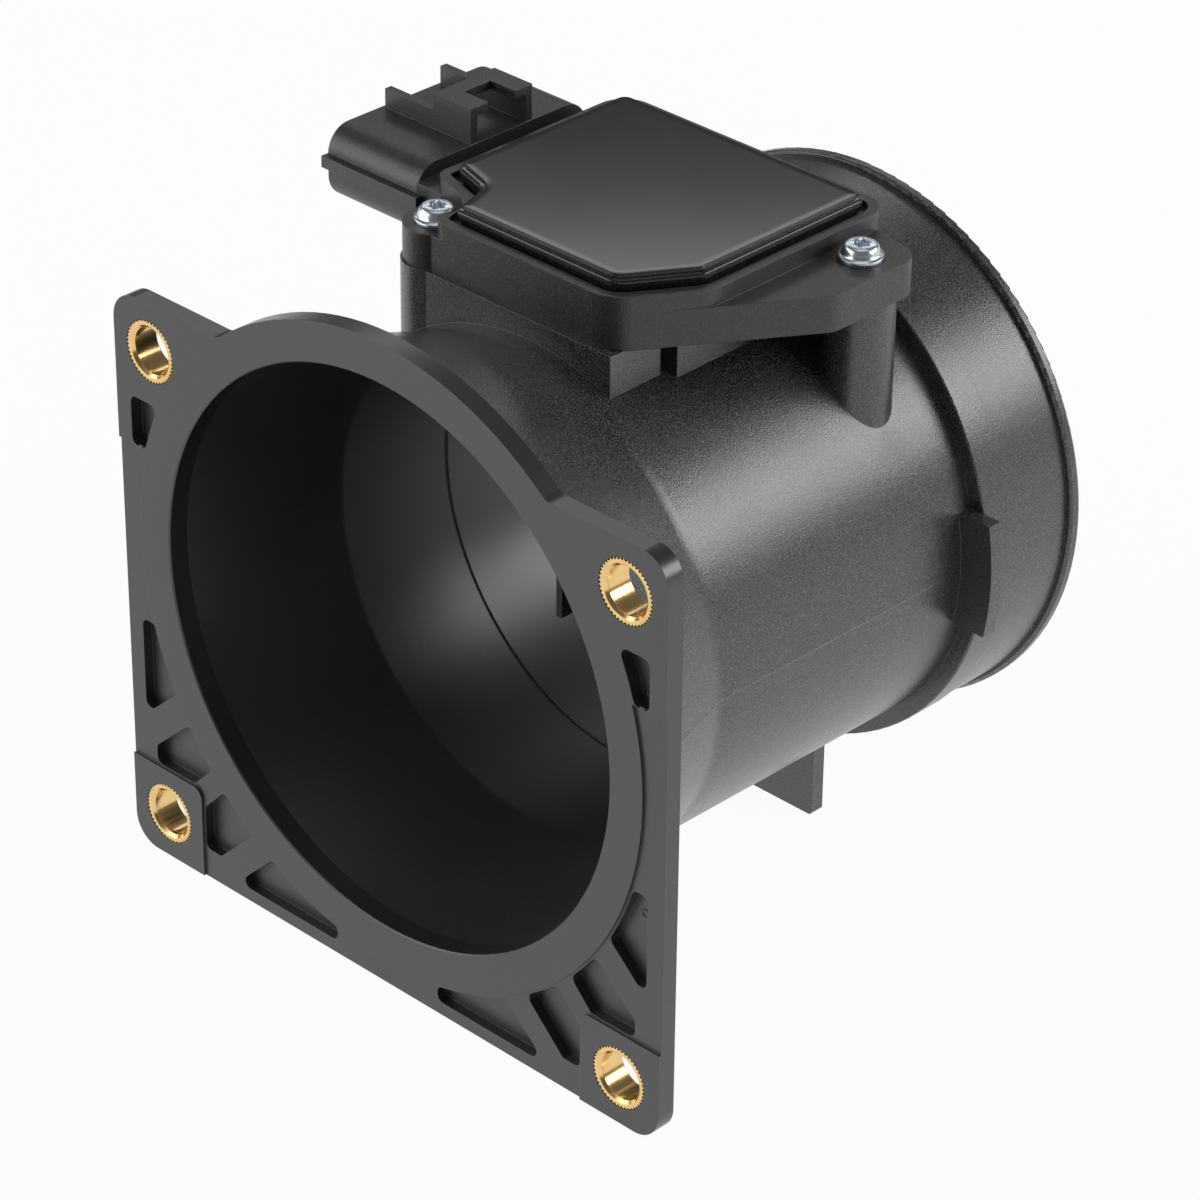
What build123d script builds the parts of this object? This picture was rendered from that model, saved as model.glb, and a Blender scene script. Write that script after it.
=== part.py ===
from build123d import *
import os

os.makedirs("parts", exist_ok=True)

# A mass airflow sensor: a hot-element probe that plugs into an air tube with a bolted inlet flange.
# The origin is the centre of the bolt pattern on the flange's front face.
# +Y runs with the air, +Z points up to the probe, and the connector opens towards -X.
# All sizes are in millimetres.

# Flange and its bolt pattern
ring_radius = 44.5
ring_side_gap = 3.475
ring_bottom_gap = 3.45
bore_height = 6.85
hole_margin = 6.7
flange_thickness = 2.75
flange_corner_radius = 4.0
ring_blend_radius = 2.0
web_drop = 0.35
pad_corner_radius = 1.5

# Pads round the lower holes and plain bands beside and below the ring, as shares of the ring's radius
pad_share = 0.299
plain_band_share = 0.292
bottom_band_share = 0.207

# Lightening pockets round the ring, with a wider shoulder beside the pads
pocket_depth = 1.8
pocket_side_edge = 2.6
pocket_bottom_edge = 1.9
pocket_ring_gap = 0.35
pocket_pad_gap = 0.3
pocket_corner_radius = 1.0
slot_height = 7.0
shoulder_width = 4.4
shoulder_reach = 4.5

# Ribs between the pockets: where each leaves the ring, its direction in degrees and its width
pocket_ribs = [(-32.0, -42.0, 4.3), (-45.3, -46.0, 3.3), (-58.9, -44.0, 4.0)]

# Brass sleeves in the flange
sleeve_bore_radius = 3.2
sleeve_radius = 4.3
sleeve_length = 3.65
sleeve_chamfer = 0.3
knurl_teeth = 40
knurl_depth = 0.2
sleeve_boss_wall = 1.2
moulded_gap = 0.01

# Inside of the tube: a bellmouth, a throat that two mould halves meet in, and a diffuser
mouth_radius = 39.0
mouth_land = 3.0
throat_radius = 33.0
throat_draft = 0.3
throat_start = 24.5
mould_split = 43.3
mould_step = 0.25
diffuser_start = 64.0
diffuser_end = 78.0
outlet_radius = 35.3
edge_break = 0.2
throat_blend_radius = 4.0
diffuser_blend_radius = 6.0

# Outside of the tube
neck_wall = 2.4
neck_end = 22.9
neck_blend_radius = 6.0
tube_wall = 2.3
tube_draft = 0.3
shoulder = 69.7
collar_edge_radius = 0.3
collar_radius = 37.85
collar_length = 4.7
spigot_radius = 37.6
lip_radius = 38.45
lip_width = 1.8
lip_edge_radius = 0.5
tube_length = 87.7

# Hose stops and foot in front of the shoulder
stop_thickness = 2.2
stop_radius = 40.6
stop_half_height = 8.05
foot_half_width = 12.1
foot_corner_radius = 0.5

# Probe seat and screw posts
seat_height = 38.1
screw_left_x = -20.2
screw_left_y = 29.6
screw_right_x = 23.8
screw_right_y = 59.3
post_radius = 4.65
seat_front = 25.5
seat_back = 66.0
seat_left = -15.0
seat_right = 13.9
seat_groove_right = 12.3
seat_groove_front = 34.3
seat_groove_back = 35.9
seat_block_right = 15.2
post_web = 3.0

# Probe opening, plug and seal
probe_middle_y = 47.3
plug_half_width = 8.3
plug_half_length = 12.8
plug_corner_radius = 4.0
plug_clearance = 0.2
plug_depth = 5.1
groove_depth = 1.2
groove_height = 1.7
groove_drop = 1.5
seal_gap = 0.02

# Probe tower and its sampling channel
tower_half_width = 5.5
tower_front = 36.2
tower_back = 58.4
tower_reach = 48.95
cheek = 1.0
channel_cover_height = 24.5
channel_height = 8.0
channel_floor = 1.5
channel_divider = 2.0
channel_back_wall = 3.0
channel_turn = 8.0
channel_turn_radius = 3.5
upper_front_wall = 3.0
floor_setback = 3.8
exit_width = 4.5
exit_height = 5.0

# Electronics box, lid and ears
lid_left = -24.3
lid_right = 17.9
lid_front = 28.2
lid_back = 67.3
lid_corner_radius = 2.0
lid_cut_x = 6.1
lid_cut_y = 9.4
lid_cut_radius = 3.0
notch_run = 4.6
notch_rise = 7.4
notch_depth_x = 2.7
notch_depth_y = 5.3
notch_corner_radius = 0.8
notch_root_radius = 3.0
lid_gap = 0.7
rim_wall = 1.4
rim_height = 7.25
ear_thickness = 4.9
box_floor = 2.5
lid_ledge = 2.0
lid_proud = 1.65
lid_thickness = 2.0
lid_step = 0.75
lid_step_height = 0.4
lid_edge_radius = 0.45
bead_inset = 0.6
bead_width = 1.0
bead_height = 0.6
ear_boss_radius = 4.35
ear_right = 28.5
ear_knee = 49.6
ear_back = 65.2
ear_corner_radius = 3.5

# Mounting screws
screw_radius = 1.95
screw_hole_radius = 2.2
thread_gap = 0.05
screw_grip = 7.5
post_hole_extra = 1.2
screw_point = 0.6
head_radius = 2.95
head_rim_height = 0.75
head_neck_radius = 2.4
head_height = 2.15
head_edge_radius = 0.5
head_gap = 0.25
recess_radius = 1.0
recess_lobe_radius = 0.32
recess_depth = 1.1

# Connector shroud and its latch bridge
shroud_mouth = -46.0
shroud_root = -31.2
shroud_step = -29.6
shroud_width = 30.4
shroud_height = 10.2
shroud_middle_y = 50.3
shroud_drop = 3.3
shroud_wall = 1.6
shroud_corner_radius = 3.6
guide_start = -45.5
guide_height = 2.7
guide_width = 1.1
bridge_start = -36.6
bridge_length = 6.9
bridge_width = 11.0
bridge_height = 5.0
bridge_wall = 1.2
bridge_roof = 1.2
bridge_band = 2.45
bridge_arm = 3.1
ledge_height = 1.6
ledge_reach = 1.2
ledge_rise = 0.9
ledge_length = 17.5

# Terminals
terminal_count = 6
terminal_pitch = 3.6
terminal_width = 1.5
terminal_thickness = 0.64
terminal_recess = 4.3
terminal_rise = 1.4
terminal_inset = 1.4
terminal_tip_chamfer = 0.16

# Circuit board and what it carries
board_gap = 0.5
board_right = 12.5
board_back = 62.4
board_front_edge = 0.8
board_thickness = 1.2
standoff_height = 0.4
standoff_radius = 1.5
standoff_inset = 2.2
lead_hole_gap = 0.1
solder_height = 0.6
chip_x = -10.5
chip_y = 51.0
chip_size = 7.0
chip_height = 1.6
chip_lift = 0.3
chip_leg_count = 8
chip_leg_pitch = 0.8
chip_leg_width = 0.4
chip_leg_reach = 1.2
chip_leg_height = 0.8
transistor_x = 8.0
transistor_y = 44.0
transistor_width = 5.4
transistor_length = 5.0
transistor_height = 2.0
transistor_tab = 1.6
transistor_tab_height = 0.6
capacitor_x = 8.0
capacitor_y = 53.0
capacitor_length = 3.2
capacitor_width = 2.5
capacitor_height = 1.7
capacitor_pitch = 4.2
resistor_x = -4.0
resistor_y = 58.6
resistor_length = 2.0
resistor_width = 1.25
resistor_height = 0.6
resistor_pitch = 2.6

# Sensing elements, their pins and the air temperature bead
pin_radius = 0.3
pin_spread = 4.4
hot_y = 45.2
reference_y = 50.8
element_radius = 0.6
element_drop = 3.6
bead_radius = 1.1
bead_length = 2.6
bead_nose_radius = 0.55
bead_reach = 6.0
bead_level = 28.5
lead_spread = 1.2
lead_setback = 3.2
lead_bend_radius = 1.0

# Levels and places that follow from the sizes above
bore_axis = Axis((0, 0, bore_height), (0, 1, 0))
flange_half_width = ring_radius + ring_side_gap
flange_half_height = ring_radius - bore_height + ring_bottom_gap
hole_spacing_x = 2 * (flange_half_width - hole_margin)
hole_spacing_z = 2 * (flange_half_height - hole_margin)
pad_width = pad_share * ring_radius
plain_band = plain_band_share * ring_radius
bottom_band = bottom_band_share * ring_radius
pocket_reach_x = flange_half_width - pocket_side_edge
pocket_reach_z = flange_half_height - pocket_bottom_edge
throat_outside = throat_radius + tube_wall
seat_z = bore_height + seat_height
ear_z = seat_z + ear_thickness
rim_reach = lid_gap + rim_wall
lid_cut_length = (lid_cut_x**2 + lid_cut_y**2) ** 0.5
ear_root_x = lid_right - lid_cut_x / 2 + rim_reach * lid_cut_y / lid_cut_length
ear_root_y = lid_front + lid_cut_y / 2 - rim_reach * lid_cut_x / lid_cut_length
rim_z = seat_z + rim_height
floor_z = seat_z + box_floor
lid_z = rim_z + lid_proud
lid_under_z = lid_z - lid_thickness
ledge_z = lid_under_z - bead_height
board_z = floor_z + standoff_height
board_top_z = board_z + board_thickness
plug_bottom_z = seat_z - plug_depth
tower_z = seat_z - tower_reach
upper_channel_z = tower_z + channel_floor + channel_height + channel_divider
element_z = upper_channel_z + channel_height - element_drop
bead_z = tower_z + bead_level
bead_y = tower_front - bead_reach
lead_y = tower_front + lead_setback
lead_top_z = board_top_z + solder_height
shroud_z = seat_z - shroud_drop + shroud_height / 2
shroud_top_z = shroud_z + shroud_height / 2
terminal_z = seat_z + terminal_rise
board_left = lid_left + lid_ledge + board_gap
board_front = lead_y - board_front_edge
terminal_tail_x = board_left + terminal_inset
terminal_tip_x = shroud_mouth + terminal_recess
terminal_rows = [
    shroud_middle_y + (index - (terminal_count - 1) / 2) * terminal_pitch for index in range(terminal_count)
]
pin_places = [
    (side * pin_spread / 2, y) for y in (hot_y, reference_y) for side in (-1, 1)
]
lead_places = [(side * lead_spread / 2, lead_y) for side in (-1, 1)]
hole_corners = {"top_left": (-1, 1), "top_right": (1, 1), "bottom_left": (-1, -1), "bottom_right": (1, -1)}
screw_places = {"left": (screw_left_x, screw_left_y), "right": (screw_right_x, screw_right_y)}


def at_y(y):
    """Plane across the tube, with local x and y along X and Z and its normal towards the flange."""
    return Plane.XZ.offset(-y)


def at_x(x):
    """Plane along the tube, with local x and y along Y and Z and its normal towards +X."""
    return Plane.YZ.offset(x)


def lid_outline(grow):
    """Plan of the lid, with its cut corner and its notch round the left screw, grown all round."""
    with BuildSketch() as plan:
        with BuildLine():
            Polyline(
                (screw_left_x + notch_run, lid_front),
                (lid_right - lid_cut_x, lid_front),
                (lid_right, lid_front + lid_cut_y),
                (lid_right, lid_back),
                (lid_left, lid_back),
                (lid_left, screw_left_y + notch_rise),
                (screw_left_x + notch_depth_x, screw_left_y + notch_depth_y),
                close=True,
            )
        make_face()
        notch = plan.vertices().filter_by(lambda v: v.X < 0).sort_by(Axis.Y)[0:3]
        fillet(plan.vertices().group_by(Axis.Y)[-1], lid_corner_radius)
        fillet(plan.vertices().filter_by(lambda v: v.X > 0).sort_by(Axis.Y)[0:2], lid_cut_radius)
        fillet([notch[0], notch[2]], notch_corner_radius)
        fillet(notch[1], notch_root_radius)
        if grow != 0:
            offset(amount=grow)
    return plan.sketch


def plug_outline(grow):
    """Plan of the probe's plug, grown all round."""
    with BuildSketch() as plan:
        with Locations((0, probe_middle_y)):
            RectangleRounded(
                2 * (plug_half_width + grow),
                2 * (plug_half_length + grow),
                plug_corner_radius + grow,
            )
    return plan.sketch


def terminal_outline(y, gap):
    """Side view of a terminal at one row: its blade, its bend and the tail up through the board."""
    half = terminal_thickness / 2 + gap
    tail_top = board_top_z + solder_height
    with BuildSketch(at_y(y)) as side:
        with BuildLine():
            Polyline(
                (terminal_tip_x, terminal_z - half),
                (terminal_tail_x + half, terminal_z - half),
                (terminal_tail_x + half, tail_top),
                (terminal_tail_x - half, tail_top),
                (terminal_tail_x - half, terminal_z + half),
                (terminal_tip_x, terminal_z + half),
                close=True,
            )
        make_face()
    return side.sketch


def lead_route(x):
    """Middle line of a bead lead: down from the board, round one bend and out to the bead."""
    return FilletPolyline(
        (x, lead_y, lead_top_z),
        (x, lead_y, bead_z),
        (x, bead_y + bead_length, bead_z),
        radius=lead_bend_radius,
    )


# Plans that more than one piece is made from
lid_plan = lid_outline(0)
lid_top_plan = lid_outline(-lid_step)
lid_recess_plan = lid_outline(lid_gap)
rim_plan = lid_outline(lid_gap + rim_wall)
cavity_plan = lid_outline(-lid_ledge)
bead_outer_plan = lid_outline(-bead_inset)
bead_inner_plan = lid_outline(-bead_inset - bead_width)
plug_plan = plug_outline(0)
plug_hole_plan = plug_outline(plug_clearance)
groove_plan = plug_outline(-groove_depth)

# Air tube: the flange, the bellmouth, the tube, the outlet and the probe's seat in one moulding
with BuildPart() as air_tube:
    with BuildSketch(at_y(0)) as flange_plan:
        RectangleRounded(2 * flange_half_width, 2 * flange_half_height, flange_corner_radius)
        with Locations((0, bore_height)):
            Circle(ring_radius)
        top_edge = flange_plan.vertices().filter_by(lambda v: abs(v.Y - flange_half_height) < 0.01)
        fillet(top_edge.sort_by(lambda v: abs(v.X))[0:2], ring_blend_radius)
    extrude(amount=-flange_thickness)

    # Bosses behind the bolt holes
    with BuildSketch(at_y(0)):
        with GridLocations(hole_spacing_x, hole_spacing_z, 2, 2):
            Circle(sleeve_radius + sleeve_boss_wall)
    extrude(amount=-sleeve_length)

    # Outside of the tube, turned about the bore's axis
    with BuildSketch(Plane.XY.offset(bore_height)) as outside:
        with BuildLine():
            Polyline(
                (0, 0),
                (mouth_radius + neck_wall, 0),
                (mouth_radius + neck_wall, flange_thickness),
                (throat_outside, neck_end),
                (throat_outside + tube_draft, shoulder),
                (collar_radius, shoulder),
                (collar_radius, shoulder + collar_length),
                (spigot_radius, shoulder + collar_length),
                (spigot_radius, tube_length - lip_width),
                (lip_radius, tube_length - lip_width),
                (lip_radius, tube_length),
                (0, tube_length),
                close=True,
            )
        make_face()
        fillet(outside.vertices().filter_by(lambda v: abs(v.Y - neck_end) < 0.001), neck_blend_radius)
        collar_corner = outside.vertices().filter_by(
            lambda v: abs(v.Y - shoulder) < 0.001 and v.X > collar_radius - 0.001
        )
        fillet(collar_corner, collar_edge_radius)
    revolve(axis=bore_axis)
    fillet(
        air_tube.edges()
        .filter_by(GeomType.CIRCLE)
        .filter_by(lambda e: abs(e.radius - lip_radius) < 0.001),
        lip_edge_radius,
    )

    # Hose stops on both sides and the foot below
    with BuildSketch(at_y(shoulder - stop_thickness)) as stops:
        with Locations((0, bore_height)):
            Circle(stop_radius)
            Rectangle(2 * stop_radius, 2 * stop_half_height, mode=Mode.INTERSECT)
            Rectangle(
                2 * foot_half_width,
                bore_height + flange_half_height,
                align=(Align.CENTER, Align.MAX),
            )
        fillet(stops.vertices().group_by(Axis.Y)[0], foot_corner_radius)
    extrude(amount=-stop_thickness)

    # Seat for the sensor: a block with a groove in its right side, and a post under each screw
    with BuildSketch(Plane.XY.offset(seat_z)):
        with Locations((seat_left, seat_front)):
            Rectangle(
                seat_right - seat_left,
                seat_groove_front - seat_front,
                align=(Align.MIN, Align.MIN),
            )
            Rectangle(
                seat_groove_right - seat_left,
                seat_back - seat_front,
                align=(Align.MIN, Align.MIN),
            )
        with Locations((seat_left, seat_groove_back)):
            Rectangle(
                seat_block_right - seat_left,
                seat_back - seat_groove_back,
                align=(Align.MIN, Align.MIN),
            )
        with Locations((screw_left_x, screw_left_y), (screw_right_x, screw_right_y)):
            Circle(post_radius)
        with Locations((screw_left_x, seat_front)):
            Rectangle(seat_left - screw_left_x, post_web, align=(Align.MIN, Align.MIN))
        with Locations((seat_block_right, screw_right_y)):
            Rectangle(screw_right_x - seat_block_right, post_web, align=(Align.MIN, Align.CENTER))
    extrude(amount=-seat_height)

    # Bore, from the bellmouth through the throat to the outlet
    with BuildSketch(Plane.XY.offset(bore_height)) as inside:
        with BuildLine():
            Polyline(
                (0, 0),
                (mouth_radius + edge_break, 0),
                (mouth_radius, edge_break),
                (mouth_radius, mouth_land),
                (throat_radius + throat_draft, throat_start),
                (throat_radius, mould_split),
                (throat_radius - mould_step, mould_split),
                (throat_radius - mould_step, diffuser_start),
                (outlet_radius, diffuser_end),
                (outlet_radius, tube_length - edge_break),
                (outlet_radius + edge_break, tube_length),
                (0, tube_length),
                close=True,
            )
        make_face()
        fillet(inside.vertices().filter_by(lambda v: abs(v.Y - throat_start) < 0.001), throat_blend_radius)
        diffuser_ends = inside.vertices().filter_by(
            lambda v: v.X > 0 and min(abs(v.Y - diffuser_start), abs(v.Y - diffuser_end)) < 0.001
        )
        fillet(diffuser_ends, diffuser_blend_radius)
    revolve(axis=bore_axis, mode=Mode.SUBTRACT)

    # Lower web of the flange, set back from the ring and the two lower pads
    with BuildSketch(at_y(0)) as web:
        with Locations((0, bore_height + plain_band)):
            Rectangle(
                2 * flange_half_width,
                2 * flange_half_height,
                align=(Align.CENTER, Align.MAX),
            )
        with Locations((0, bore_height)):
            Circle(ring_radius, mode=Mode.SUBTRACT)
        with GridLocations(2 * flange_half_width, 2 * flange_half_height, 2, 2):
            RectangleRounded(2 * pad_width, 2 * pad_width, pad_corner_radius, mode=Mode.SUBTRACT)
    extrude(amount=-web_drop, mode=Mode.SUBTRACT)

    # Pockets in the lower web, between the ring, the pads, the edge and the ribs
    with BuildSketch(at_y(0)) as pockets:
        Rectangle(2 * pocket_reach_x, 2 * pocket_reach_z)
        with Locations((0, bore_height)):
            Circle(ring_radius + pocket_ring_gap, mode=Mode.SUBTRACT)
        with Locations((0, bore_height - plain_band)):
            Rectangle(
                2 * flange_half_width,
                2 * flange_half_height,
                align=(Align.CENTER, Align.MIN),
                mode=Mode.SUBTRACT,
            )
        with Locations((0, -flange_half_height)):
            Rectangle(2 * bottom_band, 2 * pad_width, mode=Mode.SUBTRACT)
        with GridLocations(2 * flange_half_width, 2 * flange_half_height, 2, 2):
            Rectangle(
                2 * (pad_width + pocket_pad_gap),
                2 * (pad_width + pocket_pad_gap),
                mode=Mode.SUBTRACT,
            )
        with Locations((0, bore_height)):
            for place, direction, width in pocket_ribs:
                for leaves, turned in ((place, direction), (180 - place, 180 - direction)):
                    with PolarLocations(ring_radius, 1, start_angle=leaves, rotate=False):
                        Rectangle(ring_radius, width, rotation=turned, mode=Mode.SUBTRACT)
        with GridLocations(2 * flange_half_width, 2 * flange_half_height, 2, 2):
            Rectangle(2 * shoulder_width, 2 * (pad_width + shoulder_reach), mode=Mode.SUBTRACT)
            Rectangle(2 * (pad_width + shoulder_reach), 2 * shoulder_width, mode=Mode.SUBTRACT)
        fillet(pockets.vertices(), pocket_corner_radius)
    extrude(amount=-pocket_depth, mode=Mode.SUBTRACT)

    # A small pocket on both sides, above the plain band beside the ring
    with BuildSketch(at_y(0)) as slots:
        with Locations((0, bore_height + plain_band)):
            Rectangle(2 * pocket_reach_x, slot_height, align=(Align.CENTER, Align.MIN))
        with Locations((0, bore_height)):
            Circle(ring_radius + pocket_ring_gap, mode=Mode.SUBTRACT)
        fillet(slots.vertices(), pocket_corner_radius)
    extrude(amount=-pocket_depth, mode=Mode.SUBTRACT)

    # Probe opening down into the bore
    with BuildSketch(Plane.XY.offset(seat_z)):
        add(plug_hole_plan)
    extrude(amount=-seat_height, mode=Mode.SUBTRACT)

    # Blind holes for the screws and seats for the sleeves
    with BuildSketch(Plane.XY.offset(seat_z)):
        with Locations((screw_left_x, screw_left_y), (screw_right_x, screw_right_y)):
            Circle(screw_radius + thread_gap)
    extrude(amount=-screw_grip - post_hole_extra, mode=Mode.SUBTRACT)
    with BuildSketch(at_y(0)):
        with GridLocations(hole_spacing_x, hole_spacing_z, 2, 2):
            Circle(sleeve_radius + moulded_gap)
    extrude(amount=-sleeve_length, mode=Mode.SUBTRACT)
air_tube.part.label = "air_tube"
export_step(air_tube.part, "parts/air_tube.step")

# Brass sleeves: knurled outside, chamfered at both ends of the bore
for corner, (side, level) in hole_corners.items():
    with BuildPart() as sleeve:
        with BuildSketch(at_y(0)):
            with Locations((side * hole_spacing_x / 2, level * hole_spacing_z / 2)):
                Circle(sleeve_radius)
                Circle(sleeve_bore_radius, mode=Mode.SUBTRACT)
                with PolarLocations(sleeve_radius, knurl_teeth):
                    Rectangle(
                        2**0.5 * knurl_depth,
                        2**0.5 * knurl_depth,
                        rotation=45,
                        mode=Mode.SUBTRACT,
                    )
        extrude(amount=-sleeve_length)
        bore_edges = (
            sleeve.edges()
            .filter_by(GeomType.CIRCLE)
            .filter_by(lambda e: abs(e.radius - sleeve_bore_radius) < 0.001)
        )
        chamfer(bore_edges, sleeve_chamfer)
    sleeve.part.label = f"flange_sleeve_{corner}"
    export_step(sleeve.part, f"parts/flange_sleeve_{corner}.step")

# Sensor case: the electronics box, its ears, the connector, the plug and the tower in one moulding
with BuildPart() as sensor_case:
    # Floor and ears, then the wall up to the rim
    with BuildSketch(Plane.XY.offset(seat_z)) as ears:
        add(rim_plan)
        with Locations((screw_left_x, screw_left_y)):
            Circle(ear_boss_radius)
            Rectangle(
                notch_run + ear_boss_radius,
                screw_left_y - lid_front + lid_gap + rim_wall,
                align=(Align.MIN, Align.MAX),
            )
            Rectangle(
                2 * ear_boss_radius,
                2 * ear_boss_radius,
                align=(Align.CENTER, Align.MIN),
            )
        with BuildLine():
            Polyline(
                (ear_root_x, ear_root_y),
                (ear_right, ear_knee),
                (ear_right, ear_back),
                (0, lid_back + lid_gap + rim_wall),
                (0, ear_root_y),
                close=True,
            )
        make_face()
        ear_corners = ears.vertices().filter_by(lambda v: v.X > ear_right - 0.01)
        fillet(ear_corners, ear_corner_radius)
    extrude(amount=ear_thickness)
    with BuildSketch(Plane.XY.offset(seat_z)):
        add(rim_plan)
    extrude(amount=rim_height)
    with BuildSketch(Plane.XY.offset(ear_z)):
        with Locations((screw_left_x, screw_left_y)):
            Circle(head_radius + head_gap)
    extrude(amount=rim_height, mode=Mode.SUBTRACT)

    # Connector shroud with a ledge on both sides and a neck into the box
    with BuildSketch(at_x(shroud_mouth)):
        with Locations((shroud_middle_y, shroud_z)):
            RectangleRounded(shroud_width, shroud_height, shroud_corner_radius)
    extrude(amount=shroud_step - shroud_mouth)
    with BuildSketch(at_x(shroud_mouth)):
        with Locations((shroud_middle_y, shroud_z + ledge_rise)):
            Rectangle(shroud_width + 2 * ledge_reach, ledge_height)
    extrude(amount=ledge_length)
    with BuildSketch(at_x(shroud_step)):
        with Locations((shroud_middle_y, seat_z)):
            Rectangle(shroud_width, ear_thickness, align=(Align.CENTER, Align.MIN))
    extrude(amount=lid_left - shroud_step)

    # Guide ribs and latch bridge on the shroud
    with BuildSketch(Plane.XY.offset(shroud_top_z)):
        with Locations((guide_start, shroud_middle_y)):
            with GridLocations(0, bridge_width - guide_width, 1, 2):
                Rectangle(bridge_start - guide_start, guide_width, align=(Align.MIN, Align.CENTER))
    extrude(amount=guide_height)
    with BuildSketch(Plane.XY.offset(shroud_top_z)):
        with Locations((bridge_start, shroud_middle_y)):
            with GridLocations(0, bridge_width - bridge_wall, 1, 2):
                Rectangle(bridge_length, bridge_wall, align=(Align.MIN, Align.CENTER))
    extrude(amount=bridge_height)
    with BuildSketch(Plane.XY.offset(shroud_top_z + bridge_height - bridge_roof)):
        with Locations((bridge_start, shroud_middle_y)):
            Rectangle(bridge_length, bridge_width, align=(Align.MIN, Align.CENTER))
        with Locations((bridge_start + bridge_band, shroud_middle_y)):
            Rectangle(
                bridge_length,
                bridge_width - 2 * bridge_arm,
                align=(Align.MIN, Align.CENTER),
                mode=Mode.SUBTRACT,
            )
    extrude(amount=bridge_roof)

    # Plug with its seal groove, and the tower below it
    with BuildSketch(Plane.XY.offset(seat_z)):
        add(plug_plan)
    extrude(amount=-plug_depth)
    with BuildSketch(Plane.XY.offset(seat_z - groove_drop)):
        add(plug_plan)
        add(groove_plan, mode=Mode.SUBTRACT)
    extrude(amount=-groove_height, mode=Mode.SUBTRACT)
    with BuildSketch(Plane.XY.offset(plug_bottom_z)):
        with Locations((0, tower_front)):
            Rectangle(
                2 * tower_half_width,
                tower_back - tower_front,
                align=(Align.CENTER, Align.MIN),
            )
    extrude(amount=tower_z - plug_bottom_z)

    # Sampling channel: in at the lower front, round the back and forward again above a divider
    with BuildSketch(at_x(cheek - tower_half_width)) as channel:
        with Locations((tower_front, tower_z + channel_floor)):
            Rectangle(
                tower_back - channel_back_wall - tower_front,
                2 * channel_height + channel_divider,
                align=(Align.MIN, Align.MIN),
            )
        fillet(channel.vertices().group_by(Axis.X)[-1], channel_turn_radius)
        with Locations((tower_front, tower_z + channel_floor + channel_height)):
            Rectangle(
                tower_back - channel_back_wall - channel_turn - tower_front,
                channel_divider,
                align=(Align.MIN, Align.MIN),
                mode=Mode.SUBTRACT,
            )
        with Locations((tower_front, upper_channel_z)):
            Rectangle(
                upper_front_wall,
                channel_height,
                align=(Align.MIN, Align.MIN),
                mode=Mode.SUBTRACT,
            )
        with Locations((tower_front, tower_z)):
            Rectangle(floor_setback, channel_floor, align=(Align.MIN, Align.MIN))
    extrude(amount=2 * tower_half_width - cheek, mode=Mode.SUBTRACT)

    # Seat of the channel cover on the right, and the channel's exit through the left cheek
    with BuildSketch(at_x(tower_half_width - cheek)):
        with Locations((tower_front, tower_z)):
            Rectangle(
                tower_back - tower_front,
                channel_cover_height,
                align=(Align.MIN, Align.MIN),
            )
    extrude(amount=cheek, mode=Mode.SUBTRACT)
    with BuildSketch(at_x(-tower_half_width)):
        with Locations((tower_front + upper_front_wall, upper_channel_z + channel_height / 2)):
            Rectangle(exit_width, exit_height, align=(Align.MIN, Align.CENTER))
    extrude(amount=cheek, mode=Mode.SUBTRACT)

    # Inside of the box: the recess for the lid, the ledge under it and the cavity
    with BuildSketch(Plane.XY.offset(ledge_z)):
        add(lid_recess_plan)
    extrude(amount=rim_z - ledge_z, mode=Mode.SUBTRACT)
    with BuildSketch(Plane.XY.offset(floor_z)):
        add(cavity_plan)
    extrude(amount=ledge_z - floor_z, mode=Mode.SUBTRACT)
    with BuildSketch(Plane.XY.offset(floor_z)):
        with Locations(((board_left + board_right) / 2, (board_front + board_back) / 2)):
            with GridLocations(
                board_right - board_left - 2 * standoff_inset,
                board_back - board_front - 2 * standoff_inset,
                2,
                2,
            ):
                Circle(standoff_radius)
    extrude(amount=standoff_height)

    # Inside of the shroud, the screw holes and the ways of the pins, leads and terminals
    with BuildSketch(at_x(shroud_mouth)):
        with Locations((shroud_middle_y, shroud_z)):
            RectangleRounded(
                shroud_width - 2 * shroud_wall,
                shroud_height - 2 * shroud_wall,
                shroud_corner_radius - shroud_wall,
            )
    extrude(amount=shroud_root - shroud_mouth, mode=Mode.SUBTRACT)
    with BuildSketch(Plane.XY.offset(seat_z)):
        with Locations((screw_left_x, screw_left_y), (screw_right_x, screw_right_y)):
            Circle(screw_hole_radius)
    extrude(amount=ear_thickness, mode=Mode.SUBTRACT)
    with BuildSketch(Plane.XY.offset(floor_z)):
        with Locations(*pin_places):
            Circle(pin_radius + moulded_gap)
    extrude(amount=upper_channel_z + channel_height - floor_z, mode=Mode.SUBTRACT)
    for lead_x, _ in lead_places:
        with BuildLine():
            lead_route(lead_x)
        with BuildSketch(Plane.XY.offset(lead_top_z)):
            with Locations((lead_x, lead_y)):
                Circle(pin_radius + moulded_gap)
        sweep(mode=Mode.SUBTRACT)
    for row_y in terminal_rows:
        extrude(
            to_extrude=terminal_outline(row_y, moulded_gap),
            amount=terminal_width / 2 + moulded_gap,
            both=True,
            mode=Mode.SUBTRACT,
        )
sensor_case.part.label = "sensor_case"
export_step(sensor_case.part, "parts/sensor_case.step")

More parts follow.
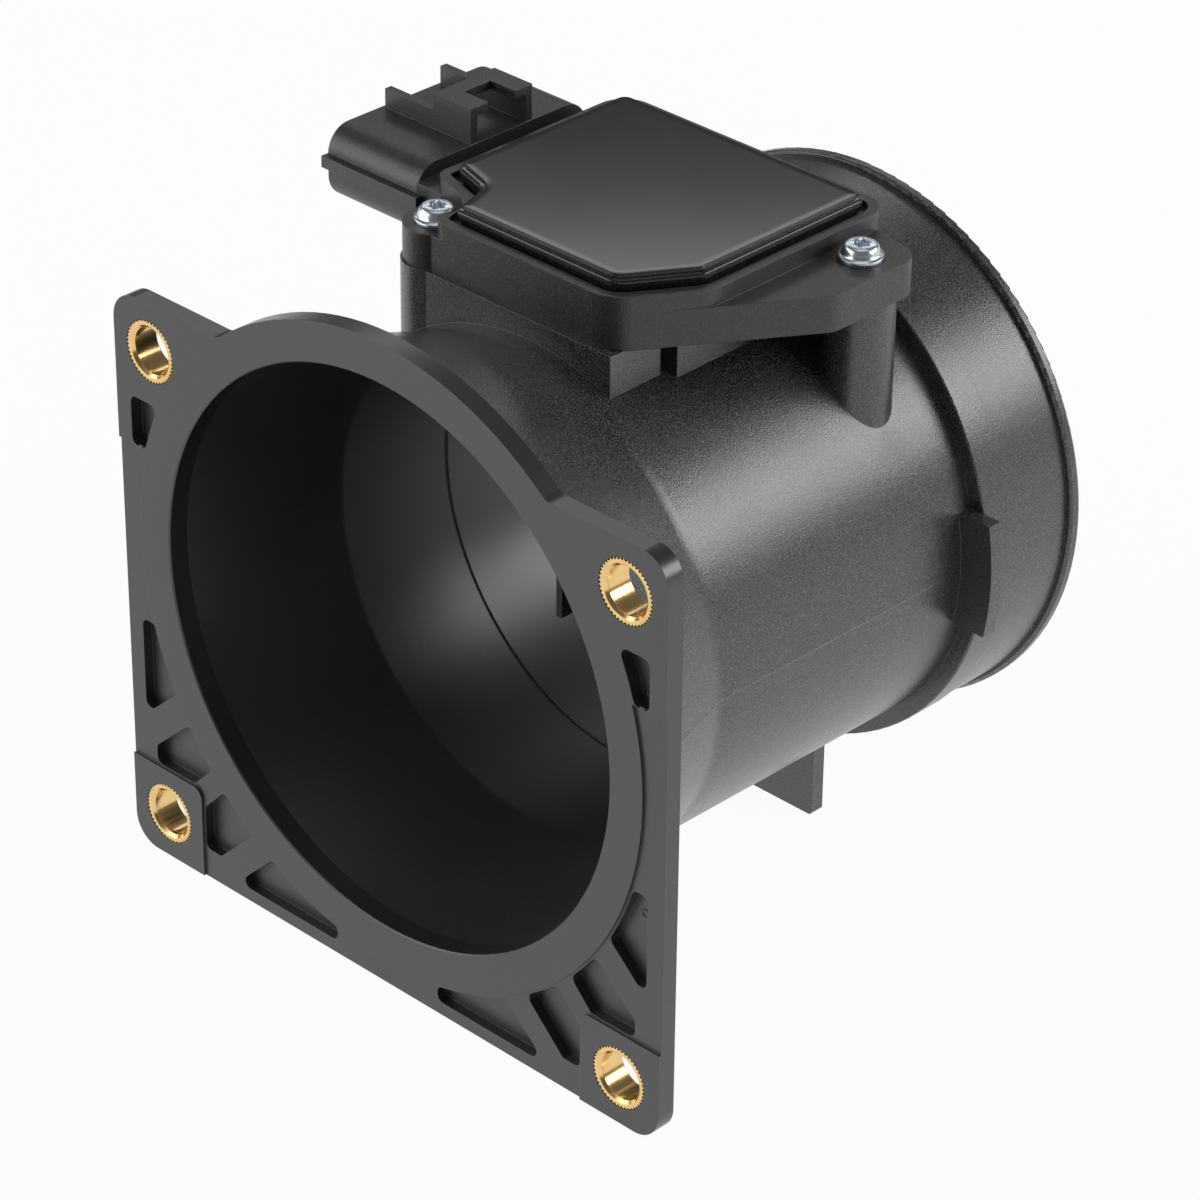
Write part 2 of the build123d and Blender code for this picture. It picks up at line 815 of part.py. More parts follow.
# Lid with a stepped edge
with BuildPart() as sensor_cover:
    with BuildSketch(Plane.XY.offset(lid_under_z)):
        add(lid_plan)
    extrude(amount=lid_thickness - lid_step_height)
    fillet(sensor_cover.edges().group_by(Axis.Z)[-1], lid_edge_radius)
    with BuildSketch(Plane.XY.offset(lid_z - lid_step_height)):
        add(lid_top_plan)
    extrude(amount=lid_step_height)
sensor_cover.part.label = "sensor_cover"
export_step(sensor_cover.part, "parts/sensor_cover.step")

# Sealing bead between the lid and the ledge
with BuildPart() as cover_seal:
    with BuildSketch(Plane.XY.offset(ledge_z)):
        add(bead_outer_plan)
        add(bead_inner_plan, mode=Mode.SUBTRACT)
    extrude(amount=bead_height)
cover_seal.part.label = "cover_seal"
export_step(cover_seal.part, "parts/cover_seal.step")

# Seal ring in the plug's groove, against the wall of the opening
with BuildPart() as probe_seal:
    with BuildSketch(Plane.XY.offset(seat_z - groove_drop - seal_gap)):
        add(plug_outline(plug_clearance - seal_gap))
        add(plug_outline(seal_gap - groove_depth), mode=Mode.SUBTRACT)
    extrude(amount=2 * seal_gap - groove_height)
probe_seal.part.label = "probe_seal"
export_step(probe_seal.part, "parts/probe_seal.step")

# Cover on the tower's right side, with the channel's other exit
with BuildPart() as channel_cover:
    with BuildSketch(at_x(tower_half_width - cheek)):
        with Locations((tower_front, tower_z)):
            Rectangle(
                tower_back - tower_front,
                channel_cover_height,
                align=(Align.MIN, Align.MIN),
            )
        with Locations((tower_front + upper_front_wall, upper_channel_z + channel_height / 2)):
            Rectangle(
                exit_width,
                exit_height,
                align=(Align.MIN, Align.CENTER),
                mode=Mode.SUBTRACT,
            )
    extrude(amount=cheek)
channel_cover.part.label = "channel_cover"
export_step(channel_cover.part, "parts/channel_cover.step")

# Mounting screws: a pan head on a flange, a six-lobe recess and a plain shank
for side, (x, y) in screw_places.items():
    with BuildPart() as screw:
        with BuildSketch(Plane(origin=(x, y, ear_z), x_dir=(1, 0, 0), z_dir=(0, -1, 0))) as section:
            with BuildLine():
                Polyline(
                    (0, head_height),
                    (head_neck_radius, head_height),
                    (head_neck_radius, head_rim_height),
                    (head_radius, head_rim_height),
                    (head_radius, 0),
                    (screw_radius, 0),
                    (screw_radius, screw_point - ear_thickness - screw_grip),
                    (screw_radius - screw_point, -ear_thickness - screw_grip),
                    (0, -ear_thickness - screw_grip),
                    close=True,
                )
            make_face()
            fillet(
                section.vertices().filter_by(
                    lambda v: v.X > head_neck_radius - 0.01 and v.Y > head_rim_height + 0.01
                ),
                head_edge_radius,
            )
        revolve(axis=Axis((x, y, 0), (0, 0, 1)))
        with BuildSketch(Plane.XY.offset(ear_z + head_height)):
            with Locations((x, y)):
                Circle(recess_radius)
                with PolarLocations(recess_radius, 6):
                    Circle(recess_lobe_radius)
        extrude(amount=-recess_depth, mode=Mode.SUBTRACT)
    screw.part.label = f"mounting_screw_{side}"
    export_step(screw.part, f"parts/mounting_screw_{side}.step")

# Terminals of the connector
for index, row_y in enumerate(terminal_rows, start=1):
    with BuildPart() as terminal:
        extrude(to_extrude=terminal_outline(row_y, 0), amount=terminal_width / 2, both=True)
        tip_edges = terminal.edges().group_by(Axis.X)[0]
        chamfer(tip_edges, terminal_tip_chamfer)
    terminal.part.label = f"terminal_{index}"
    export_step(terminal.part, f"parts/terminal_{index}.step")

# Circuit board, with holes for the pins and leads and slots for the terminals' tails
with BuildPart() as circuit_board:
    with BuildSketch(Plane.XY.offset(board_z)):
        with Locations((board_left, board_front)):
            Rectangle(
                board_right - board_left,
                board_back - board_front,
                align=(Align.MIN, Align.MIN),
            )
        with Locations(*pin_places, *lead_places):
            Circle(pin_radius + lead_hole_gap, mode=Mode.SUBTRACT)
        for row_y in terminal_rows:
            with Locations((terminal_tail_x, row_y)):
                Rectangle(
                    terminal_thickness + 2 * lead_hole_gap,
                    terminal_width + 2 * lead_hole_gap,
                    mode=Mode.SUBTRACT,
                )
    extrude(amount=board_thickness)
circuit_board.part.label = "circuit_board"
export_step(circuit_board.part, "parts/circuit_board.step")

# Signal chip: a body with a row of legs on both sides
with BuildPart() as signal_chip:
    with BuildSketch(Plane.XY.offset(board_top_z + chip_lift)):
        with Locations((chip_x, chip_y)):
            Rectangle(chip_size, chip_size)
    extrude(amount=chip_height)
    with BuildSketch(Plane.XY.offset(board_top_z)):
        with Locations((chip_x, chip_y)):
            with GridLocations(chip_size + chip_leg_reach, chip_leg_pitch, 2, chip_leg_count):
                Rectangle(chip_leg_reach, chip_leg_width)
    extrude(amount=chip_leg_height)
signal_chip.part.label = "signal_chip"
export_step(signal_chip.part, "parts/signal_chip.step")

# Heater transistor: a body on a metal tab
with BuildPart() as heater_transistor:
    with BuildSketch(Plane.XY.offset(board_top_z)):
        with Locations((transistor_x, transistor_y)):
            Rectangle(transistor_width, transistor_length)
    extrude(amount=transistor_height)
    with BuildSketch(Plane.XY.offset(board_top_z)):
        with Locations((transistor_x, transistor_y + transistor_length / 2)):
            Rectangle(transistor_width, transistor_tab, align=(Align.CENTER, Align.MIN))
    extrude(amount=transistor_tab_height)
heater_transistor.part.label = "heater_transistor"
export_step(heater_transistor.part, "parts/heater_transistor.step")

# Capacitors and resistors, each a row of like pieces
with BuildPart() as board_capacitors:
    with BuildSketch(Plane.XY.offset(board_top_z)):
        with Locations((capacitor_x, capacitor_y)):
            with GridLocations(0, capacitor_pitch, 1, 2):
                Rectangle(capacitor_length, capacitor_width)
    extrude(amount=capacitor_height)
board_capacitors.part.label = "board_capacitors"
export_step(board_capacitors.part, "parts/board_capacitors.step")

with BuildPart() as board_resistors:
    with BuildSketch(Plane.XY.offset(board_top_z)):
        with Locations((resistor_x, resistor_y)):
            with GridLocations(resistor_pitch, 0, 4, 1):
                Rectangle(resistor_width, resistor_length)
    extrude(amount=resistor_height)
board_resistors.part.label = "board_resistors"
export_step(board_resistors.part, "parts/board_resistors.step")

# Hot element and reference element, each between two pins that come down from the board
for name, element_y in (("hot", hot_y), ("reference", reference_y)):
    with BuildPart() as element:
        with BuildSketch(at_x(pin_radius - pin_spread / 2)):
            with Locations((element_y, element_z)):
                Circle(element_radius)
        extrude(amount=pin_spread - 2 * pin_radius)
    element.part.label = f"{name}_element"
    export_step(element.part, f"parts/{name}_element.step")
    for side, pin_x in (("left", -pin_spread / 2), ("right", pin_spread / 2)):
        with BuildPart() as pin:
            with BuildSketch(Plane.XY.offset(element_z - element_radius)):
                with Locations((pin_x, element_y)):
                    Circle(pin_radius)
            extrude(amount=board_top_z + solder_height - element_z + element_radius)
        pin.part.label = f"{name}_pin_{side}"
        export_step(pin.part, f"parts/{name}_pin_{side}.step")

# Air temperature bead in front of the tower, and the leads that carry it
with BuildPart() as air_temperature_bead:
    with BuildSketch(at_y(bead_y)):
        with Locations((0, bead_z)):
            Circle(bead_radius)
    extrude(amount=-bead_length)
    fillet(air_temperature_bead.edges().group_by(Axis.Y)[0], bead_nose_radius)
air_temperature_bead.part.label = "air_temperature_bead"
export_step(air_temperature_bead.part, "parts/air_temperature_bead.step")

for side, (lead_x, _) in zip(("left", "right"), lead_places):
    with BuildPart() as lead:
        with BuildLine():
            lead_route(lead_x)
        with BuildSketch(Plane.XY.offset(lead_top_z)):
            with Locations((lead_x, lead_y)):
                Circle(pin_radius)
        sweep()
    lead.part.label = f"temperature_lead_{side}"
    export_step(lead.part, f"parts/temperature_lead_{side}.step")
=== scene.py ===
"""Looks of the mass airflow sensor: its finishes, its detailed pieces, the camera and the studio."""

import logging
import math
from dataclasses import dataclass, field
from enum import Enum
from functools import cache
from typing import ClassVar

import bmesh
import bpy
from mathutils import Matrix, Vector


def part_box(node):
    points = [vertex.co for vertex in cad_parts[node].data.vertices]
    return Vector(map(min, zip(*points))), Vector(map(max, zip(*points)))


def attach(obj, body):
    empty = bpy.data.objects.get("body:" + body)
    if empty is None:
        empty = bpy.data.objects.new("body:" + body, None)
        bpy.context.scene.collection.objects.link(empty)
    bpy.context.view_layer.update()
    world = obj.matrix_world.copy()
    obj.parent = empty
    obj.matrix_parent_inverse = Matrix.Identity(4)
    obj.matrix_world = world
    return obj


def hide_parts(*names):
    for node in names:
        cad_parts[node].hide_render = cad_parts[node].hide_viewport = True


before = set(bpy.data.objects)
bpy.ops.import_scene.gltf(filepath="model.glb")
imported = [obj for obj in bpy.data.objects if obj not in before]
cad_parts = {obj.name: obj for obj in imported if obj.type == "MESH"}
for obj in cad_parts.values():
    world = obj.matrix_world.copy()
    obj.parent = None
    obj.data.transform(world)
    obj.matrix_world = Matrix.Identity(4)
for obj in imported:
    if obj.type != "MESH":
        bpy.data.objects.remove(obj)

MM = 0.001
SMOOTH_DEGREES = 32.0
BORE_LEVEL = 6.85
WHITE = (1.0, 1.0, 1.0)
LOG = logging.getLogger("mass_airflow_sensor")


class Effect(Enum):
    """Names of the shared effects, as their node groups are called."""

    EDGES = "rounded edges"
    GRAIN = "moulded grain"
    VARIATION = "surface variation"
    TURNING = "turned rings"
    ZONES = "mould zones"


class Zone(Enum):
    """Zones of the tube's moulding that differ in polish, as the outputs of their group are called."""

    OUTSIDE = "Outside"
    BORE = "Bore"
    RIM = "Rim"


def rgba(colour: tuple[float, float, float], share: float = 1.0) -> tuple[float, ...]:
    """Makes a colour of a shader from a plain one.

    Args:
        colour: Red, green and blue.
        share: How bright it becomes.

    Returns:
        The colour with full opacity.
    """
    return (*(share * part for part in colour), 1.0)


# Node helpers and the effects that several finishes share


class NodeSheet:
    """Adds nodes to one node tree and joins them by the names of their sockets."""

    def __init__(self, tree: bpy.types.NodeTree) -> None:
        """Keeps the tree that the nodes go into.

        Args:
            tree: The node tree of a material, a world or a group.
        """
        self.tree = tree

    def add(self, kind: str, inputs: dict | None = None, **settings: object) -> bpy.types.Node:
        """Adds one node, sets it up and joins what feeds it.

        Args:
            kind: Blender's name of the node type.
            inputs: Value or feeding socket for each input, by name or index.
            **settings: Properties of the node itself.

        Returns:
            The new node.
        """
        node = self.tree.nodes.new(kind)
        for key, value in settings.items():
            setattr(node, key, value)
        for key, value in (inputs or {}).items():
            self.feed(node.inputs[key], value)
        return node

    def feed(self, socket: bpy.types.NodeSocket, value: object) -> None:
        """Joins a socket to another one, or sets its own value.

        Args:
            socket: The input to feed.
            value: An output socket or a plain value.
        """
        if isinstance(value, bpy.types.NodeSocket):
            self.tree.links.new(value, socket)
        else:
            socket.default_value = value

    def math(self, operation: str, first: object, second: object = 0.0) -> bpy.types.NodeSocket:
        """Adds a math node.

        Args:
            operation: The operation, such as MULTIPLY.
            first: First value or socket.
            second: Second value or socket.

        Returns:
            The result's socket.
        """
        return self.add("ShaderNodeMath", {0: first, 1: second}, operation=operation).outputs[0]

    def spread(self, value: object, low: float, high: float, to_low: float, to_high: float) -> bpy.types.NodeSocket:
        """Adds a clamped map range node.

        Args:
            value: The value to map.
            low: Start of its range.
            high: End of its range.
            to_low: What the start becomes.
            to_high: What the end becomes.

        Returns:
            The mapped value's socket.
        """
        inputs = {"Value": value, "From Min": low, "From Max": high, "To Min": to_low, "To Max": to_high}
        return self.add("ShaderNodeMapRange", inputs).outputs["Result"]

    def blend(self, factor: object, first: object, second: object) -> bpy.types.NodeSocket:
        """Adds a colour mix node.

        Args:
            factor: Share of the second colour.
            first: First colour or socket.
            second: Second colour or socket.

        Returns:
            The mixed colour's socket.
        """
        node = self.add("ShaderNodeMix", data_type="RGBA")
        self.feed(node.inputs["Factor"], factor)
        self.feed(node.inputs["A"], first)
        self.feed(node.inputs["B"], second)
        return next(socket for socket in node.outputs if socket.type == "RGBA")

    def effect(self, effect: Effect, **inputs: object) -> bpy.types.Node:
        """Places one of the shared effects.

        Args:
            effect: Which effect.
            **inputs: Values of the group's inputs.

        Returns:
            The group node.
        """
        node = self.add("ShaderNodeGroup", node_tree=SharedEffects.get(effect))
        for key, value in inputs.items():
            self.feed(node.inputs[key.replace("_", " ").capitalize()], value)
        return node


class SharedEffects:
    """Builds each shared effect once and hands it out by name.

    Its constants are the ranges and ratios inside the effects. A pair is the start and the end of a range.
    """

    bevel_samples: ClassVar[int] = 6
    broad_detail: ClassVar[float] = 3.0
    fine_detail: ClassVar[float] = 2.0
    edge_facing: ClassVar[tuple[float, float]] = (0.995, 0.8)
    patch_scale: ClassVar[float] = 260.0
    patch_range: ClassVar[tuple[float, float]] = (0.42, 0.62)
    least_patch: ClassVar[float] = 0.25
    cell_ratio: ClassVar[float] = 0.8
    cell_reach: ClassVar[float] = 0.8
    grain_tops: ClassVar[tuple[float, float]] = (0.5, 0.64)
    slow_range: ClassVar[tuple[float, float]] = (0.3, 0.7)
    fine_ratio: ClassVar[float] = 9.0
    ring_range: ClassVar[tuple[float, float]] = (0.35, 0.65)
    bore_facing: ClassVar[tuple[float, float]] = (-0.3, -0.6)
    rim_tilt: ClassVar[tuple[float, float]] = (0.6, 0.3)
    zone_blend: ClassVar[float] = 0.4 * MM

    @staticmethod
    def get(effect: Effect) -> bpy.types.NodeTree:
        """Finds or builds one effect.

        Args:
            effect: Which effect.

        Returns:
            Its node group.
        """
        made = bpy.data.node_groups.get(effect.value)
        if made is not None:
            return made
        builders = {
            Effect.EDGES: SharedEffects.rounded_edges,
            Effect.GRAIN: SharedEffects.moulded_grain,
            Effect.VARIATION: SharedEffects.surface_variation,
            Effect.TURNING: SharedEffects.turned_rings,
            Effect.ZONES: SharedEffects.mould_zones,
        }
        return builders[effect](effect.value)

    @staticmethod
    def start(name: str, inputs: dict[str, float], outputs: dict[str, str]) -> tuple[NodeSheet, dict, bpy.types.Node]:
        """Opens a new group with its sockets.

        Args:
            name: Name of the group.
            inputs: Its float inputs and their defaults.
            outputs: Its outputs and their socket types.

        Returns:
            The sheet, the input sockets by name and the output node.
        """
        tree = bpy.data.node_groups.new(name, "ShaderNodeTree")
        for key, value in inputs.items():
            socket = tree.interface.new_socket(key, in_out="INPUT", socket_type="NodeSocketFloat")
            socket.default_value = value
        for key, kind in outputs.items():
            tree.interface.new_socket(key, in_out="OUTPUT", socket_type=kind)
        sheet = NodeSheet(tree)
        source = sheet.add("NodeGroupInput")
        sink = sheet.add("NodeGroupOutput")
        return sheet, {key: source.outputs[key] for key in inputs}, sink

    @staticmethod
    def rounded_edges(name: str) -> bpy.types.NodeTree:
        """Rounds sharp edges for the light and marks them as rubbed and as painted edge highlights.

        Args:
            name: Name of the group.

        Returns:
            The group, with a Normal and a Mask.
        """
        sheet, given, sink = SharedEffects.start(
            name,
            {"Radius": 0.25 * MM, "Wear": 0.5},
            {"Normal": "NodeSocketVector", "Mask": "NodeSocketFloat"},
        )
        rounded = sheet.add("ShaderNodeBevel", {"Radius": given["Radius"]}, samples=SharedEffects.bevel_samples)
        flat = sheet.add("ShaderNodeNewGeometry").outputs["Normal"]
        facing = sheet.add("ShaderNodeVectorMath", {0: rounded.outputs[0], 1: flat}, operation="DOT_PRODUCT")
        edge = sheet.spread(facing.outputs["Value"], *SharedEffects.edge_facing, 0.0, 1.0)
        place = sheet.add("ShaderNodeTexCoord").outputs["Object"]
        patches = sheet.add(
            "ShaderNodeTexNoise",
            {"Vector": place, "Scale": SharedEffects.patch_scale, "Detail": SharedEffects.broad_detail},
        )
        patchy = sheet.spread(patches.outputs["Fac"], *SharedEffects.patch_range, SharedEffects.least_patch, 1.0)
        # Mask of the rubbed edges; the plastics also paint edge highlights with it.
        worn_and_highlit = sheet.math("MULTIPLY", sheet.math("MULTIPLY", edge, patchy), given["Wear"])
        sheet.feed(sink.inputs["Normal"], rounded.outputs[0])
        sheet.feed(sink.inputs["Mask"], worn_and_highlit)
        return sheet.tree

    @staticmethod
    def moulded_grain(name: str) -> bpy.types.NodeTree:
        """Fine raised grain of a spark-eroded or blasted mould.

        Args:
            name: Name of the group.

        Returns:
            The group, with a Height and a Mask of the grain's peaks, where the plastics paint glints.
        """
        sheet, given, sink = SharedEffects.start(
            name,
            {"Scale": 3000.0, "Pits": 0.4},
            {"Height": "NodeSocketFloat", "Mask": "NodeSocketFloat"},
        )
        place = sheet.add("ShaderNodeTexCoord").outputs["Object"]
        noise = sheet.add(
            "ShaderNodeTexNoise",
            {"Vector": place, "Scale": given["Scale"], "Detail": SharedEffects.fine_detail},
        )
        finer = sheet.math("MULTIPLY", given["Scale"], SharedEffects.cell_ratio)
        cells = sheet.add("ShaderNodeTexVoronoi", {"Vector": place, "Scale": finer}, feature="F1")
        dimple = sheet.spread(cells.outputs["Distance"], 0.0, SharedEffects.cell_reach, 0.0, 1.0)
        pitted = sheet.math("MULTIPLY", dimple, given["Pits"])
        height = sheet.math("ADD", noise.outputs["Fac"], pitted)
        sheet.feed(sink.inputs["Height"], height)
        sheet.feed(sink.inputs["Mask"], sheet.spread(noise.outputs["Fac"], *SharedEffects.grain_tops, 0.0, 1.0))
        return sheet.tree

    @staticmethod
    def surface_variation(name: str) -> bpy.types.NodeTree:
        """Slow changes over the surface, from handling and from the melt's flow.

        Args:
            name: Name of the group.

        Returns:
            The group, with a Value from 0 to 1.
        """
        sheet, given, sink = SharedEffects.start(
            name,
            {"Scale": 60.0, "Fine share": 0.3},
            {"Value": "NodeSocketFloat"},
        )
        place = sheet.add("ShaderNodeTexCoord").outputs["Object"]
        broad = sheet.add(
            "ShaderNodeTexNoise",
            {"Vector": place, "Scale": given["Scale"], "Detail": SharedEffects.broad_detail},
        )
        closer = sheet.math("MULTIPLY", given["Scale"], SharedEffects.fine_ratio)
        fine = sheet.add(
            "ShaderNodeTexNoise", {"Vector": place, "Scale": closer, "Detail": SharedEffects.fine_detail}
        )
        slow = sheet.spread(broad.outputs["Fac"], *SharedEffects.slow_range, 0.0, 1.0)
        both = sheet.add(
            "ShaderNodeMix", {0: given["Fine share"], 2: slow, 3: fine.outputs["Fac"]}, data_type="FLOAT"
        )
        sheet.feed(sink.inputs["Value"], both.outputs[0])
        return sheet.tree

    @staticmethod
    def turned_rings(name: str) -> bpy.types.NodeTree:
        """Fine tool marks round a turned piece's own Z axis.

        Args:
            name: Name of the group.

        Returns:
            The group, with a Height and a Mask of the brighter rings.
        """
        sheet, given, sink = SharedEffects.start(
            name,
            {"Pitch": 0.12 * MM},
            {"Height": "NodeSocketFloat", "Mask": "NodeSocketFloat"},
        )
        place = sheet.add("ShaderNodeTexCoord").outputs["Object"]
        parts = sheet.add("ShaderNodeSeparateXYZ", {0: place})
        across = sheet.add("ShaderNodeCombineXYZ", {0: parts.outputs[0], 1: parts.outputs[1]})
        radius = sheet.add("ShaderNodeVectorMath", {0: across.outputs[0]}, operation="LENGTH").outputs["Value"]
        along = sheet.math("ADD", radius, parts.outputs[2])
        count = sheet.math("DIVIDE", along, given["Pitch"])
        lines = sheet.add(
            "ShaderNodeTexNoise",
            {"W": count, "Scale": 1.0, "Detail": SharedEffects.fine_detail},
            noise_dimensions="1D",
        )
        sheet.feed(sink.inputs["Height"], lines.outputs["Fac"])
        sheet.feed(sink.inputs["Mask"], sheet.spread(lines.outputs["Fac"], *SharedEffects.ring_range, 0.0, 1.0))
        return sheet.tree

    @staticmethod
    def mould_zones(name: str) -> bpy.types.NodeTree:
        """Tells the grained outside of the tube from its smooth flange, and marks the bore and the flange's edge.

        Args:
            name: Name of the group.

        Returns:
            The group, with masks of the outside, of the bore and of the flange's own edge.
        """
        sheet, given, sink = SharedEffects.start(
            name,
            {"Flange back": 3.2 * MM, "Bore level": BORE_LEVEL * MM},
            {zone.value: "NodeSocketFloat" for zone in Zone},
        )
        place = sheet.add("ShaderNodeTexCoord").outputs["Object"]
        parts = sheet.add("ShaderNodeSeparateXYZ", {0: place}).outputs
        height = sheet.math("SUBTRACT", parts[2], given["Bore level"])
        across = sheet.add("ShaderNodeCombineXYZ", {0: parts[0], 2: height}).outputs[0]
        outward = sheet.add("ShaderNodeVectorMath", {0: across}, operation="NORMALIZE").outputs["Vector"]
        normal = sheet.add("ShaderNodeNewGeometry").outputs["Normal"]
        facing = sheet.add("ShaderNodeVectorMath", {0: outward, 1: normal}, operation="DOT_PRODUCT")
        bore = sheet.spread(facing.outputs["Value"], *SharedEffects.bore_facing, 0.0, 1.0)
        past = sheet.math("SUBTRACT", parts[1], given["Flange back"])
        behind = sheet.spread(past, 0.0, SharedEffects.zone_blend, 0.0, 1.0)
        rest = sheet.math("SUBTRACT", 1.0, bore)
        sheet.feed(sink.inputs[Zone.OUTSIDE.value], sheet.math("MULTIPLY", behind, rest))
        sheet.feed(sink.inputs[Zone.BORE.value], bore)
        tilt = sheet.math("ABSOLUTE", sheet.add("ShaderNodeSeparateXYZ", {0: normal}).outputs[1])
        ahead = sheet.math("SUBTRACT", 1.0, behind)
        upright = sheet.math("MULTIPLY", ahead, sheet.spread(tilt, *SharedEffects.rim_tilt, 0.0, 1.0))
        sheet.feed(sink.inputs[Zone.RIM.value], sheet.math("MULTIPLY", upright, rest))
        return sheet.tree


# Mesh helpers


@dataclass(frozen=True)
class Corner:
    """One corner of an outline: its place and its radius, in millimetres."""

    x: float
    y: float
    radius: float


@dataclass(frozen=True)
class Outline:
    """A closed outline with rounded corners, listed anticlockwise, whose count of points never changes.

    A corner keeps at least the least radius when the outline shrinks or grows past it.
    """

    corners: tuple[Corner, ...]
    arc_points: int = 10
    least_radius: float = 0.06

    def ring(self, grow: float) -> list[tuple[float, float]]:
        """Points of the outline, grown all round.

        Args:
            grow: How far it grows, in millimetres. Less than zero shrinks it.

        Returns:
            The points in order.
        """
        points = []
        for index, corner in enumerate(self.corners):
            place = Vector((corner.x, corner.y))
            before = self.corners[index - 1]
            after = self.corners[(index + 1) % len(self.corners)]
            inward = (place - Vector((before.x, before.y))).normalized()
            onward = (Vector((after.x, after.y)) - place).normalized()
            turn = math.atan2(inward.x * onward.y - inward.y * onward.x, inward.dot(onward))
            side = math.copysign(1.0, turn)
            outward = Vector((inward.y + onward.y, -inward.x - onward.x)) / (1.0 + inward.dot(onward))
            radius = max(self.least_radius, corner.radius + side * grow)
            start = place + outward * grow - inward * radius * math.tan(abs(turn) / 2)
            left = Vector((-inward.y, inward.x)) * side
            centre = start + left * radius
            first = math.atan2(-left.y, -left.x)
            for step in range(self.arc_points + 1):
                angle = first + turn * step / self.arc_points
                points.append((centre.x + radius * math.cos(angle), centre.y + radius * math.sin(angle)))
        return points


@dataclass
class Skin:
    """Collects rings of points, the bands between them and their finishes into one mesh."""

    name: str
    finishes: tuple[object, ...]
    points: list[tuple[float, ...]] = field(default_factory=list)
    faces: list[tuple[int, ...]] = field(default_factory=list)
    slots: list[int] = field(default_factory=list)

    def ring(self, points: list[tuple[float, float, float]]) -> list[int]:
        """Adds a ring of points.

        Args:
            points: The points, in millimetres.

        Returns:
            Their indices.
        """
        first = len(self.points)
        self.points.extend(tuple(MM * part for part in point) for point in points)
        return list(range(first, len(self.points)))

    def band(self, lower: list[int], upper: list[int], finish: int = 0) -> None:
        """Joins two rings that have the same count of points.

        Args:
            lower: Indices of the first ring.
            upper: Indices of the second ring.
            finish: Which of the finishes it gets.
        """
        for index, corner in enumerate(lower):
            after = (index + 1) % len(lower)
            self.faces.append((corner, lower[after], upper[after], upper[index]))
            self.slots.append(finish)

    def cap(self, ring: list[int], finish: int = 0) -> None:
        """Closes a ring with one face.

        Args:
            ring: Indices of the ring.
            finish: Which of the finishes it gets.
        """
        self.faces.append(tuple(ring))
        self.slots.append(finish)

    def place(self, slot: str, turn: Matrix, replaced: tuple[str, ...] = ()) -> None:
        """Makes the piece, dresses it, puts it in place and lets it ride on the part.

        Args:
            slot: Material slot of the record. It is not used.
            turn: Where the piece goes and how it is turned.
            replaced: CAD nodes that it stands for.
        """
        mesh = bpy.data.meshes.new(self.name)
        mesh.from_pydata(self.points, [], self.faces)
        for finish in self.finishes:
            mesh.materials.append(finish.material())
        for face, finish in zip(mesh.polygons, self.slots):
            face.material_index = finish
        sheet = bmesh.new()
        sheet.from_mesh(mesh)
        bmesh.ops.recalc_face_normals(sheet, faces=sheet.faces)
        sheet.to_mesh(mesh)
        sheet.free()
        mesh.shade_smooth()
        mesh.set_sharp_from_angle(angle=math.radians(SMOOTH_DEGREES))
        piece = bpy.data.objects.new(self.name, mesh)
        piece.matrix_world = turn
        bpy.context.collection.objects.link(piece)
        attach(piece, "root")
        if replaced:
            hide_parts(*replaced)
        LOG.info("%s: %d faces", self.name, len(self.faces))


def circle(radius: float, level: float, count: int) -> list[tuple[float, float, float]]:
    """Points of a level circle round the Z axis.

    Args:
        radius: Its radius.
        level: Its height.
        count: How many points.

    Returns:
        The points in order.
    """
    steps = [math.tau * index / count for index in range(count)]
    return [(radius * math.cos(step), radius * math.sin(step), level) for step in steps]


# Finishes


